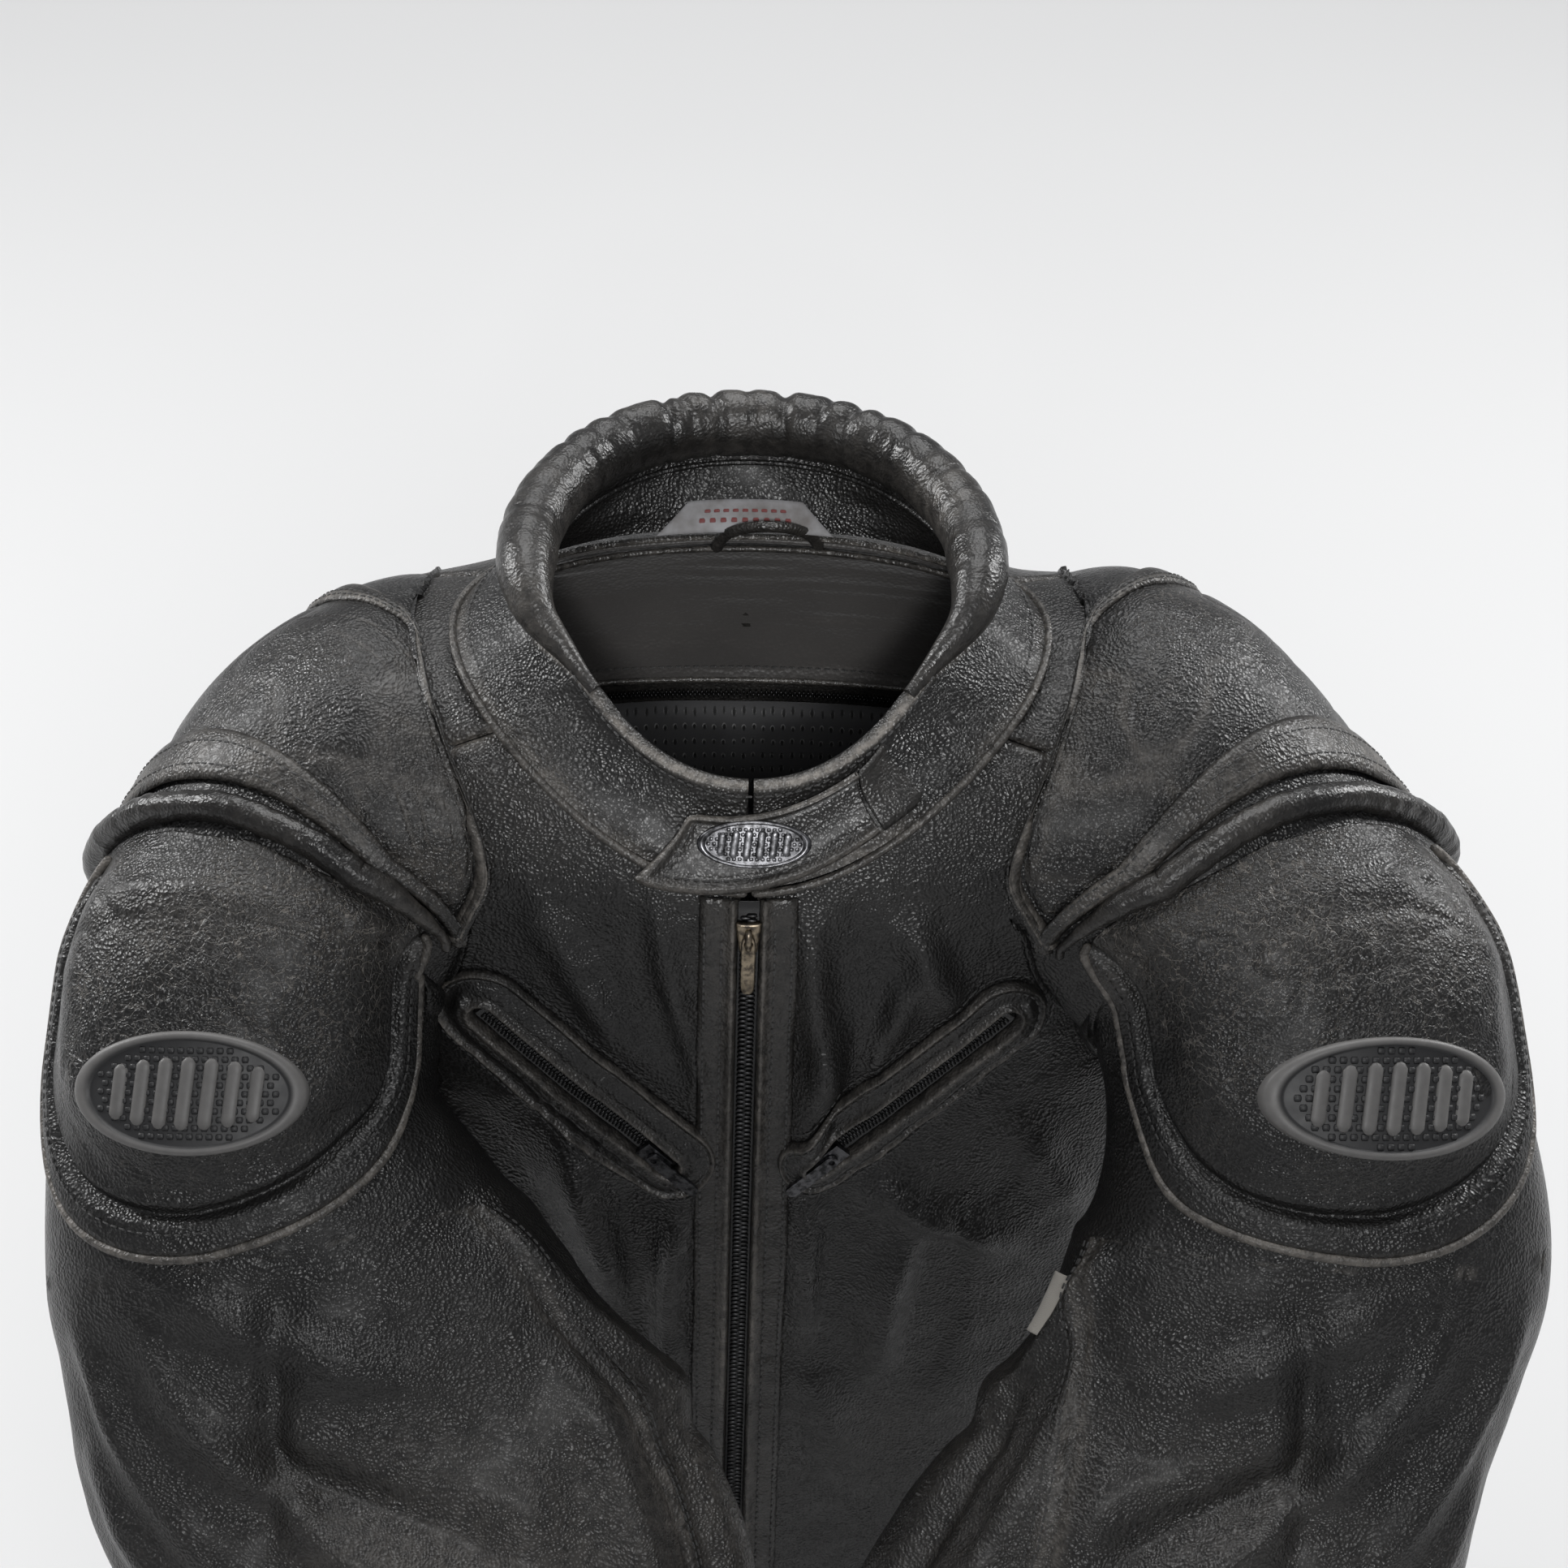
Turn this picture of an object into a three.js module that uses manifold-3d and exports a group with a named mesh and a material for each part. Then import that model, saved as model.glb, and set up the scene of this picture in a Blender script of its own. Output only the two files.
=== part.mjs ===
// Leather riding jacket, standing on its hem as if worn, with both sleeves reaching forward and down.
// Millimetres, +Z up, front towards -Y, the wearer's left towards +X. The origin is under the middle
// of the whole jacket, on the surface that the hem stands on.
import * as THREE from 'three';
import { mergeVertices } from 'three/addons/utils/BufferGeometryUtils.js';
import Module from 'manifold-3d';

const wasm = await Module();
wasm.setup();

// ---- driving dimensions ----
const LEATHER = 3;            // leather with its lining cloth
const GAP = 0.3;              // between pieces sewn or laid on each other
const FORWARD_REACH = 122.2;  // how far the middle of the jacket lies in front of the neck's middle

// Body sections, hem to neck seam: height at the side, front and back, half width, front and back depth
const BODY = [
  [0, 0, 0, 190, 103, 108],
  [60, 60, 60, 188, 101, 104],
  [150, 150, 150, 182, 98.2, 98],
  [240, 240, 240, 186, 95.2, 102],
  [330, 330, 330, 190, 92.3, 106],
  [400, 400, 400, 192, 90, 108],
  [460, 442, 462, 190, 88.8, 106],
  [505, 475, 505, 180, 88, 101],
  [535, 497, 534, 152, 86.8, 92],
  [553, 509, 550, 124, 85.6, 81],
  [561, 516, 555, 103, 84, 70],
];
const BODY_SQUARENESS = 2.25; // superellipse power of the chest sections, easing to a round neck
const HEM_HEIGHT = 42;
const YOKE_HEIGHT = 430;      // seam across the shoulder blades
const SIDE_SEAM_FRONT = 58;   // degrees from the front's middle
const SIDE_SEAM_BACK = 122;
const FRONT_OPENING = 8;      // between the two front panels, behind the zip

const COLLAR = { halfWidth: 70, front: 68, back: 92, frontTop: 550, sideTop: 596, backTop: 602 };
const COLLAR_THICKNESS = 6;
const COLLAR_LIFT = 2.2;      // of its lower edge above the body's neck edge
const ROLL_RADIUS = 11.3;
const ROLL_DROP = 0.5;        // share of the stand's height that is cut away under the roll

// Sleeve sections from the armhole to the elbow, in the plane that both arms reach in:
// sideways from the middle, down the plane, lift off the plane, half width, half thickness
const REACH_TILT = THREE.MathUtils.degToRad(40);
const SHOULDER_Z = 455;
const SHOULDER_Y = 5;
const SLEEVE = [
  [95, -10, 14, 86, 76],
  [134, -6, 26, 84, 74],
  [164, 12, 38, 78, 67],
  [176, 46, 49, 71, 58],
  [180, 90, 55, 72, 52],
  [179, 138, 56, 86, 50],
  [166, 186, 55, 98, 49],
  [150, 234, 52, 104, 47],
];
// Shoulder panel's upper edge: turns round the sleeve in degrees, and the sections it passes through
const SHOULDER_SEAM = [
  [-60, 1.75], [-4, 1.56], [22, 1.17], [36, 0.6], [50, 0.45], [92, 0.45], [106, 0.6], [118, 1.2],
];
const ARMHOLE = { angle: 84, level: 0.7, angleReach: 51, levelReach: 0.225, radius: 105 };
const SLEEVE_HEAD = 3.2;      // sleeve sections over which the armhole's outline turns into the arm's

const SHOULDER_PANEL = { first: -50, last: 110, inside: 0.5, outside: 4 };
const RIDGE_HEIGHT = 9;
const SHOULDER_ARMOUR_THICKNESS = 7;
const RIDGE_HALF = 0.2;       // sections on each side of its middle
const CUP = { rim: 3, crown: 11, firstTurn: 13, topTurn: 128, lastTurn: 154, bottom: 4.95, below: 0.32 };

const ELBOW_PLAY = 2;         // between the forearm's ball and the upper sleeve around it
const FOREARM_LENGTH = 223;
const FOREARM_TURN = THREE.MathUtils.degToRad(21.5);
const CUFF = { halfWidth: 51, halfThickness: 39, bandLength: 32 };
const CUFF_ZIP = { from: 112, to: 185, around: 255, width: 6 };

const ZIP = { top: 508, bottom: 16, width: 7, thickness: 2 };
const ZIP_PULLER = { width: 6, length: 26, thickness: 1.8 };
const PLACKET_EDGE = 17;
const POCKET = { outer: [92, 456], inner: [27, 393], frameWidth: 27, frameThickness: 3, zipWidth: 6 };
const POCKET_SLIDER = { length: 12, width: 7, height: 2.6 };
const POCKET_PULLER = { width: 5, length: 24, thickness: 1.4 };

// ---- materials ----
function material(color, roughness, metalness = 0) {
  return new THREE.MeshStandardMaterial({ color, roughness, metalness });
}
const leather = material(0x1d1c1b, 0.5);
const rubber = material(0x2b2b2c, 0.45);
const zipTape = material(0x111112, 0.7);
const brass = material(0x8d7350, 0.35, 1);
const steel = material(0x55565a, 0.4, 1);
const cloth = material(0x0f0f11, 0.9);
const foam = material(0x3a3a3c, 0.85);
const label = material(0x8f9091, 0.8);

// ---- small maths ----
const radians = THREE.MathUtils.degToRad;
const mix = THREE.MathUtils.lerp;
const vector = (x, y, z) => new THREE.Vector3(x, y, z);

// Smooth curve through a table's rows, at a row number that may lie between rows
function rowAt(table, place) {
  const last = table.length - 1;
  const at = THREE.MathUtils.clamp(place, 0, last - 1e-9);
  const row = Math.floor(at);
  const part = at - row;
  const before = table[Math.max(row - 1, 0)];
  const here = table[row];
  const next = table[Math.min(row + 1, last)];
  const after = table[Math.min(row + 2, last)];
  return here.map((value, column) => {
    const leave = (next[column] - before[column]) / 2;
    const arrive = (after[column] - value) / 2;
    const square = part * part;
    const cube = square * part;
    return (2 * cube - 3 * square + 1) * value + (cube - 2 * square + part) * leave
      + (3 * square - 2 * cube) * next[column] + (cube - square) * arrive;
  });
}

const signedPower = (value, power) => Math.sign(value) * Math.abs(value) ** power;

// Closed ring of points: angle 0 is the front, a quarter turn is the wearer's left
function ringPoint(angle, halfWidth, front, back, heights, power, settle) {
  const cosine = Math.cos(angle);
  const depth = cosine > 0 ? -front : back;
  const endHeight = cosine > 0 ? heights.front : heights.back;
  return vector(
    halfWidth * signedPower(Math.sin(angle), power),
    depth * Math.abs(cosine) ** power,
    mix(heights.side, endHeight, Math.abs(cosine) ** settle),
  );
}

// ---- body surface ----
function bodyPower(level) {
  const roundness = THREE.MathUtils.clamp((level - 0.8) / 0.2, 0, 1);
  return 2 / mix(BODY_SQUARENESS, 2, roundness);
}

function bodySkin(angle, level) {
  const inside = THREE.MathUtils.clamp(level, 0, 1);
  const [side, front, back, halfWidth, frontDepth, backDepth] = rowAt(BODY, inside * (BODY.length - 1));
  const heights = { side, front, back };
  const point = ringPoint(angle, halfWidth, frontDepth, backDepth, heights, bodyPower(inside), 3);
  point.z += (level - inside) * 400;
  return point;
}

function bodyPoint(angle, level, out) {
  const point = bodySkin(angle, level);
  const step = 1e-3;
  const around = bodySkin(angle + step, level).sub(bodySkin(angle - step, level));
  const upward = bodySkin(angle, Math.min(level + step, 1)).sub(bodySkin(angle, Math.max(level - step, 0)));
  const normal = around.cross(upward).normalize();
  if (level <= 0) normal.setZ(0).normalize();
  return point.addScaledVector(normal, out);
}

// Point on the front at a sideways place and a height
function frontPoint(x, z, out) {
  let low = 0;
  let high = 1;
  let angle = 0;
  for (let turn = 0; turn < 24; turn += 1) {
    const level = (low + high) / 2;
    const halfWidth = rowAt(BODY, level * (BODY.length - 1))[3];
    angle = Math.asin(signedPower(x / halfWidth, 1 / bodyPower(level)));
    if (bodySkin(angle, level).z < z) low = level;
    else high = level;
  }
  return bodyPoint(angle, (low + high) / 2, out);
}

// ---- collar surface: height 0 at the neck seam, 1 at the top edge ----
function collarSkin(angle, height) {
  const seam = bodySkin(angle, 1).add(vector(0, 0, COLLAR_LIFT));
  const heights = { side: COLLAR.sideTop, front: COLLAR.frontTop, back: COLLAR.backTop };
  const top = ringPoint(angle, COLLAR.halfWidth, COLLAR.front, COLLAR.back, heights, 0.95, 1.6);
  const leaning = height * (2 - height);
  return vector(mix(seam.x, top.x, leaning), mix(seam.y, top.y, leaning), mix(seam.z, top.z, height));
}

function collarPoint(angle, height, out) {
  const step = 1e-3;
  const around = collarSkin(angle + step, height).sub(collarSkin(angle - step, height));
  const upward = collarSkin(angle, height + step).sub(collarSkin(angle, height - step));
  return collarSkin(angle, height).addScaledVector(around.cross(upward).normalize(), out);
}

// ---- sleeve surface ----
const DOWN = vector(0, -Math.sin(REACH_TILT), -Math.cos(REACH_TILT));
const LIFT = vector(0, -Math.cos(REACH_TILT), Math.sin(REACH_TILT));

// Point in the plane of the arms, for the side whose x has this sign
function armPoint(side, sideways, down, lift) {
  return vector(side * sideways, SHOULDER_Y, SHOULDER_Z)
    .addScaledVector(DOWN, down)
    .addScaledVector(LIFT, lift);
}

function armholePoint(around, out) {
  const size = 1 + out / ARMHOLE.radius;
  const upward = size * (0.77 * Math.cos(around) + 0.64 * Math.sin(around));
  const forward = size * (0.77 * Math.sin(around) - 0.64 * Math.cos(around));
  const angle = radians(ARMHOLE.angle - ARMHOLE.angleReach * forward);
  return bodySkin(angle, ARMHOLE.level + ARMHOLE.levelReach * upward);
}

// Around 0 is the outer side of the arm, a quarter turn its lifted face, half a turn the side at the chest
function sleevePoint(side, section, around, out) {
  const inside = Math.max(section, 0);
  const [x, down, lift, halfWidth, halfThickness] = rowAt(SLEEVE, inside);
  const ahead = rowAt(SLEEVE, Math.min(inside + 1e-3, SLEEVE.length - 1));
  const behind = rowAt(SLEEVE, Math.max(inside - 1e-3, 0));
  const run = new THREE.Vector2(ahead[0] - behind[0], ahead[1] - behind[1]).normalize();
  const across = (halfWidth + out) * Math.cos(around);
  const raised = lift + (halfThickness + out) * Math.sin(around);
  const arm = armPoint(1, x + run.y * across, down - run.x * across, raised);
  const settled = THREE.MathUtils.smoothstep(inside, 0, SLEEVE_HEAD);
  const point = armholePoint(around, out).lerp(arm, settled);
  point.x = side * (point.x + 60 * Math.min(section, 0));
  return point;
}

// ---- forearm surface, from the elbow's pivot along the forearm ----
const ELBOW = SLEEVE[SLEEVE.length - 1];

function forearmPoint(side, along, around, out) {
  const elbowHalfWidth = ELBOW[3] - LEATHER - ELBOW_PLAY;
  const elbowHalfThickness = ELBOW[4] - LEATHER - ELBOW_PLAY;
  const taper = Math.max(along, 0) / FOREARM_LENGTH;
  const ball = along < 0 ? Math.sqrt(1 - (along / elbowHalfWidth) ** 2) : 1;
  const halfWidth = mix(elbowHalfWidth, CUFF.halfWidth, taper) * ball + out;
  const halfThickness = mix(elbowHalfThickness, CUFF.halfThickness, taper) * ball + out;
  const across = halfWidth * Math.cos(around);
  return armPoint(
    side,
    ELBOW[0] - along * Math.sin(FOREARM_TURN) + across * Math.cos(FOREARM_TURN),
    ELBOW[1] + along * Math.cos(FOREARM_TURN) + across * Math.sin(FOREARM_TURN),
    ELBOW[2] + halfThickness * Math.sin(around),
  );
}

// ---- solids ----
function signedVolume(geometry) {
  const corners = [vector(), vector(), vector()];
  const positions = geometry.getAttribute('position');
  const index = geometry.getIndex();
  let volume = 0;
  for (let i = 0; i < index.count; i += 3) {
    corners.forEach((corner, k) => corner.fromBufferAttribute(positions, index.getX(i + k)));
    volume += corners[0].dot(corners[1].clone().cross(corners[2])) / 6;
  }
  return volume;
}

// Takes a closed geometry's vertices to new places, and keeps its faces pointing out
function warp(geometry, place) {
  geometry.deleteAttribute('normal');
  geometry.deleteAttribute('uv');
  const merged = mergeVertices(geometry, 1e-5);
  const positions = merged.getAttribute('position');
  for (let i = 0; i < positions.count; i += 1) {
    const point = place(positions.getX(i), positions.getY(i), positions.getZ(i));
    positions.setXYZ(i, point.x, point.y, point.z);
  }
  if (signedVolume(merged) < 0) {
    const index = merged.getIndex();
    for (let i = 0; i < index.count; i += 3) {
      const first = index.getX(i);
      index.setX(i, index.getX(i + 1));
      index.setX(i + 1, first);
    }
  }
  return merged;
}

function solid(geometry) {
  const vertProperties = new Float32Array(geometry.getAttribute('position').array);
  const triVerts = new Uint32Array(geometry.getIndex().array);
  return new wasm.Manifold(new wasm.Mesh({ numProp: 3, vertProperties, triVerts }));
}

// The largest piece of a cut solid, without the crumbs that a grazing cut can leave
function geometryOf(manifold) {
  const pieces = manifold.decompose().sort((one, other) => other.volume() - one.volume());
  const mesh = pieces[0].getMesh();
  const geometry = new THREE.BufferGeometry();
  geometry.setAttribute('position', new THREE.BufferAttribute(mesh.vertProperties, 3));
  geometry.setIndex(new THREE.BufferAttribute(mesh.triVerts, 1));
  return geometry;
}

// Full solid of revolution in (turn, station), warped: place takes the turn and the station,
// and radius 0 is the middle of a section
function filledTube(stations, segments, place) {
  const profile = stations.map((station) => new THREE.Vector2(1, station));
  profile.unshift(new THREE.Vector2(0, stations[0]));
  profile.push(new THREE.Vector2(0, stations[stations.length - 1]));
  return warp(new THREE.LatheGeometry(profile, segments), (x, station, z) => {
    if (Math.hypot(x, z) > 0.5) return place(Math.atan2(x, z), station);
    return place(0, station).add(place(Math.PI, station)).multiplyScalar(0.5);
  });
}

// Open-ended shell: place takes the turn, the station and the distance out of the base surface
function hollowTube(stations, segments, outside, inside, place) {
  const outer = stations.map((station) => new THREE.Vector2(2, station));
  const inner = stations.map((station) => new THREE.Vector2(1, station)).reverse();
  const profile = [...outer, ...inner, outer[0]];
  return warp(new THREE.LatheGeometry(profile, segments), (x, station, z) => {
    const out = Math.hypot(x, z) > 1.5 ? outside : inside;
    return place(Math.atan2(x, z), station, out);
  });
}

// Slab on a surface: place takes u and v from 0 to 1, and the distance out of the surface
function slab(columns, rows, inside, outside, place) {
  return warp(new THREE.BoxGeometry(1, 1, 1, columns, rows, 1), (x, y, z) =>
    place(x + 0.5, y + 0.5, z < 0 ? inside : outside));
}

// Value at a share of the way along a list of stations that are taken as evenly spaced
function stationAt(stations, share) {
  const at = share * (stations.length - 1);
  const first = Math.min(Math.floor(at), stations.length - 2);
  return mix(stations[first], stations[first + 1], at - first);
}

// Slab on a surface whose facets follow the given stations both ways
function gridSlab(turns, stations, inside, outside, place) {
  return slab(turns.length - 1, stations.length - 1, inside, outside, (u, v, out) =>
    place(stationAt(turns, u), stationAt(stations, v), out));
}

// Cushion on a surface: as a slab, but its outer face rises from the rim to a crown
function cushion(columns, rows, inside, rim, crown, place) {
  const rise = (t) => Math.sqrt(Math.max(0, 1 - Math.abs(2 * t - 1) ** 3));
  return warp(new THREE.BoxGeometry(1, 1, 1, columns, rows, 1), (x, y, z) => {
    const u = x + 0.5;
    const v = y + 0.5;
    return place(u, v, z < 0 ? inside : mix(rim, crown, rise(u) * rise(v)));
  });
}

// Oval disc on a surface: place takes offsets along and across the disc, in millimetres
function disc(halfLength, halfHeight, inside, outside, place) {
  const profile = [[0, 0], [0.55, 0], [1, 0], [1, 1], [0.55, 1], [0, 1]]
    .map(([x, y]) => new THREE.Vector2(x, y));
  return warp(new THREE.LatheGeometry(profile, 16), (x, y, z) =>
    place(x * halfLength, z * halfHeight, mix(inside, outside, y)));
}

// Box between two points, its width square to the run and its thickness towards the viewer of its face
function strip(from, to, width, inside, outside, facing) {
  const run = to.clone().sub(from);
  const across = facing.clone().cross(run).normalize();
  const outward = run.clone().cross(across).normalize();
  return warp(new THREE.BoxGeometry(1, 1, 1), (x, y, z) =>
    from.clone().addScaledVector(run, y + 0.5).addScaledVector(across, x * width)
      .addScaledVector(outward, z < 0 ? inside : outside));
}

function range(from, to, count) {
  return Array.from({ length: count + 1 }, (unused, i) => mix(from, to, i / count));
}

// ---- assembly helpers ----
const jacket = new THREE.Group();
jacket.position.y = FORWARD_REACH;

function add(name, geometry, finish) {
  const mesh = new THREE.Mesh(geometry, finish);
  mesh.name = name;
  jacket.add(mesh);
}

const sides = [['right', -1], ['left', 1]];

// ---- body solids ----
const BODY_SEGMENTS = 36;
const bodyLevels = [0, 0.2, 0.4, 0.55, 0.66, 0.75, 0.83, 0.9, 0.95, 1];

function bodySolid(out, levels) {
  return solid(filledTube(levels, BODY_SEGMENTS, (angle, level) => bodyPoint(angle, level, out)));
}

const bodyOutside = bodySolid(0, bodyLevels);
const bodyCore = bodySolid(-LEATHER, [-0.05, ...bodyLevels, 1.05]);
const bodyClearance = bodySolid(GAP, bodyLevels);

const sleeveSections = [-0.7, 0, 1, 1.7, 2.4, 3.1, 4, 4.5, 5, 6, 7];
const SLEEVE_SEGMENTS = 16;

function sleeveSolid(side, out, sections) {
  const place = (around, section) => sleevePoint(side, section, around, out);
  return solid(filledTube(sections, SLEEVE_SEGMENTS, place));
}

// The armhole is cut a little smaller than the sleeve that is set over it
function armholeCut(side) {
  return solid(filledTube([-1, 0, 1], SLEEVE_SEGMENTS, (around, station) => {
    const point = armholePoint(around, -16);
    point.x = side * (point.x + 55 * station);
    return point;
  }));
}

function shellWithArmholes() {
  const shell = bodyOutside.subtract(bodyCore);
  return sides.reduce((cut, [, side]) => cut.subtract(armholeCut(side)), shell);
}

// Upright wedge between two angles from the front's middle, from one height to another
function wedge(fromAngle, toAngle, bottom, top) {
  const far = 400;
  const outline = new THREE.Shape();
  outline.moveTo(0, 0);
  range(fromAngle, toAngle, 4).forEach((angle) => {
    outline.lineTo(far * Math.sin(radians(angle)), -far * Math.cos(radians(angle)));
  });
  const prism = new THREE.ExtrudeGeometry(outline, { depth: top - bottom, bevelEnabled: false });
  prism.translate(0, 0, bottom);
  return solid(warp(prism, vector));
}

function block(x0, x1, y0, y1, z0, z1) {
  const box = new THREE.BoxGeometry(x1 - x0, y1 - y0, z1 - z0);
  box.translate((x0 + x1) / 2, (y0 + y1) / 2, (z0 + z1) / 2);
  return solid(warp(box, vector));
}

function makeBody() {
  const shell = shellWithArmholes();
  const seam = GAP / 2;
  const above = 700;
  const opening = block(-FRONT_OPENING / 2, FRONT_OPENING / 2, -200, 0, -10, above);
  const seamAngle = 0.1;
  const hem = HEM_HEIGHT;
  const frontWedge = (side) => {
    const angles = side < 0 ? [-SIDE_SEAM_FRONT, 0] : [0, SIDE_SEAM_FRONT];
    return wedge(...angles, hem + seam, above);
  };
  const sideWedge = (side) => {
    const angles = [SIDE_SEAM_FRONT + seamAngle, SIDE_SEAM_BACK - seamAngle];
    return wedge(side * angles[side < 0 ? 1 : 0], side * angles[side < 0 ? 0 : 1], hem + seam, above);
  };
  sides.forEach(([name, side]) => {
    add(`front_${name}`, geometryOf(shell.intersect(frontWedge(side)).subtract(opening)), leather);
    add(`side_${name}`, geometryOf(shell.intersect(sideWedge(side))), leather);
    const [inner, outer] = side < 0 ? [-300, -seam] : [seam, 300];
    const half = block(inner, outer, -200, 200, -10, hem - seam);
    add(`hem_band_${name}`, geometryOf(shell.intersect(half).subtract(opening)), leather);
  });
  const backWedge = (bottom, top) =>
    wedge(SIDE_SEAM_BACK + seamAngle, 360 - SIDE_SEAM_BACK - seamAngle, bottom, top);
  add('back_panel', geometryOf(shell.intersect(backWedge(hem + seam, YOKE_HEIGHT - seam))), leather);
  add('back_yoke', geometryOf(shell.intersect(backWedge(YOKE_HEIGHT + seam, above))), leather);
}

// ---- collar ----
function makeCollar() {
  const half = COLLAR_THICKNESS / 2;
  const rollEnds = 62;
  // The stand is lower where the roll sits on it
  const standTop = (angle) =>
    1 - ROLL_DROP * THREE.MathUtils.smoothstep(Math.abs(angle), radians(45), radians(75));
  const stand = hollowTube([0, 0.5, 1], 36, half, -half, (angle, height, out) =>
    collarPoint(angle, height * standTop(angle), out));
  const slit = block(-0.4, 0.4, -200, 0, 400, 700);
  add('collar_stand', geometryOf(solid(stand).subtract(slit).subtract(bodyClearance)), leather);
  const roll = warp(new THREE.CylinderGeometry(1, 1, 1, 8, 16), (x, y, z) => {
    const angle = radians(mix(rollEnds, 360 - rollEnds, y + 0.5));
    const wrapped = angle > Math.PI ? angle - 2 * Math.PI : angle;
    const point = collarPoint(wrapped, standTop(wrapped), z * ROLL_RADIUS);
    point.z += (1 + x) * ROLL_RADIUS + 3;
    return point;
  });
  add('collar_roll', roll, leather);

  const innerOut = -LEATHER - 1;
  const backTurns = range(110, 250, 14).map(radians);
  const facingLevels = [0.6, 0.66, 0.75, 0.83, 0.9, 0.95, 0.985];
  const facing = gridSlab(backTurns, facingLevels, innerOut, innerOut - 2, bodyPoint);
  add('neck_facing', facing, leather);

  // The lining bows inwards between its edges, over the back protector
  const liningLevels = [0.1, 0.2, 0.4, 0.5, 0.58];
  const lining = gridSlab(backTurns, liningLevels, 0, 1.2, (turn, level, depth) => {
    const upward = (level - liningLevels[0]) / (liningLevels[4] - liningLevels[0]);
    const sideward = (turn - backTurns[0]) / (backTurns[14] - backTurns[0]);
    const nearEdge = Math.min(1, 6 * Math.min(sideward, 1 - sideward));
    const bow = 9.5 * Math.sin(Math.PI * upward) ** 0.35 * nearEdge;
    return bodyPoint(turn, level, innerOut - 0.6 - bow - depth);
  });
  add('lining_mesh', lining, cloth);
  const linerZip = gridSlab(backTurns, [0.584, 0.596], innerOut, innerOut - 1.5, bodyPoint);
  add('liner_zip_chain', linerZip, zipTape);
  const padTurns = range(150, 210, 6).map(radians);
  add('back_pad', gridSlab(padTurns, [0.2, 0.4], innerOut, innerOut - 6.6, bodyPoint), foam);

  const neckLabel = slab(4, 1, -half - 1, -half - 1.8, (u, v, out) =>
    collarPoint(radians(mix(158, 204, u)), mix(0.06, 0.34, v), out));
  add('neck_label', neckLabel, label);

  const loopPath = new THREE.CatmullRomCurve3(
    range(-1, 1, 6).map((t) => {
      const base = bodyPoint(radians(180), 1, -LEATHER - 3.6);
      return vector(18 * t, base.y - 1 - 3 * (1 - t * t), base.z - 2 + 17 * Math.sqrt(1 - t * t * 0.98));
    }),
  );
  const band = new THREE.Shape([[-0.8, -2.5], [0.8, -2.5], [0.8, 2.5], [-0.8, 2.5]]
    .map(([x, y]) => new THREE.Vector2(x, y)));
  const loop = new THREE.ExtrudeGeometry(band, { extrudePath: loopPath, steps: 10, bevelEnabled: false });
  add('hanging_loop', warp(loop, vector), leather);
}

// ---- collar tab, which hinges on its sewn root at the wearer's left ----
// Its free end slants and hangs lower than its root, over the collar's seam
const TAB = { free: -24, slant: 8, root: 27, low: 0.08, high: 0.9, drop: 0.3, inside: 5.2, outside: 7.8 };

function makeCollarTab() {
  const tabPlace = (u, v, out) => {
    const drop = TAB.drop * (1 - u) ** 1.5;
    const height = mix(TAB.low, TAB.high, v) - drop;
    return collarPoint(radians(mix(TAB.free + TAB.slant * v, TAB.root, u)), height, out);
  };
  add('collar_tab', slab(8, 4, TAB.inside, TAB.outside, tabPlace), leather);
  const rootPlace = (u, v, out) =>
    collarPoint(radians(TAB.root + mix(1.2, 7.5, u)), mix(TAB.low, TAB.high, v), out);
  add('collar_tab_root', slab(2, 2, COLLAR_THICKNESS / 2 + 0.8, TAB.outside, rootPlace), leather);
  const middle = { angle: radians(0.5), height: 0.4 };
  const onTab = (along, up, out) =>
    collarPoint(middle.angle + along / 78, middle.height + up / 38, out);
  const badge = disc(19.5, 8.2, TAB.outside + 0.9, TAB.outside + 2.4, onTab);
  add('collar_badge', badge, brass);
  const studPlace = (along, up, out) =>
    collarPoint(radians(TAB.free + 13) + along / 78, 0.34 + up / 38, out);
  add('collar_snap_stud', disc(5, 5, COLLAR_THICKNESS / 2 + 0.8, TAB.inside - 0.3, studPlace), brass);
}

// ---- main zip ----
const zipAt = (z, out) => {
  const foot = frontPoint(0, 20, 0);
  const head = frontPoint(0, ZIP.top, 0);
  const share = (z - foot.z) / (head.z - foot.z);
  return foot.lerp(head, share).add(vector(0, -out, 0));
};

// Puller with rounded ends and an eye, hanging flat; the eye's middle is the origin
function pullerShape({ width, length }) {
  const outline = new THREE.Shape();
  outline.absarc(0, 0, width / 2, 0, Math.PI, false);
  outline.absarc(0, -length + width, width / 2, Math.PI, 2 * Math.PI, false);
  const eye = new THREE.Path();
  eye.absarc(0, 0, width / 4, 0, 2 * Math.PI, true);
  outline.holes.push(eye);
  return outline;
}

function puller(size, at, down, facing) {
  const extrusion = { depth: size.thickness, bevelEnabled: false, curveSegments: 4 };
  const plate = new THREE.ExtrudeGeometry(pullerShape(size), extrusion);
  const up = down.clone().negate().normalize();
  const sideways = up.clone().cross(facing).normalize();
  const outward = sideways.clone().cross(up);
  return warp(plate, (x, y, z) =>
    at.clone().addScaledVector(sideways, x).addScaledVector(up, y).addScaledVector(outward, z));
}

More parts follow.
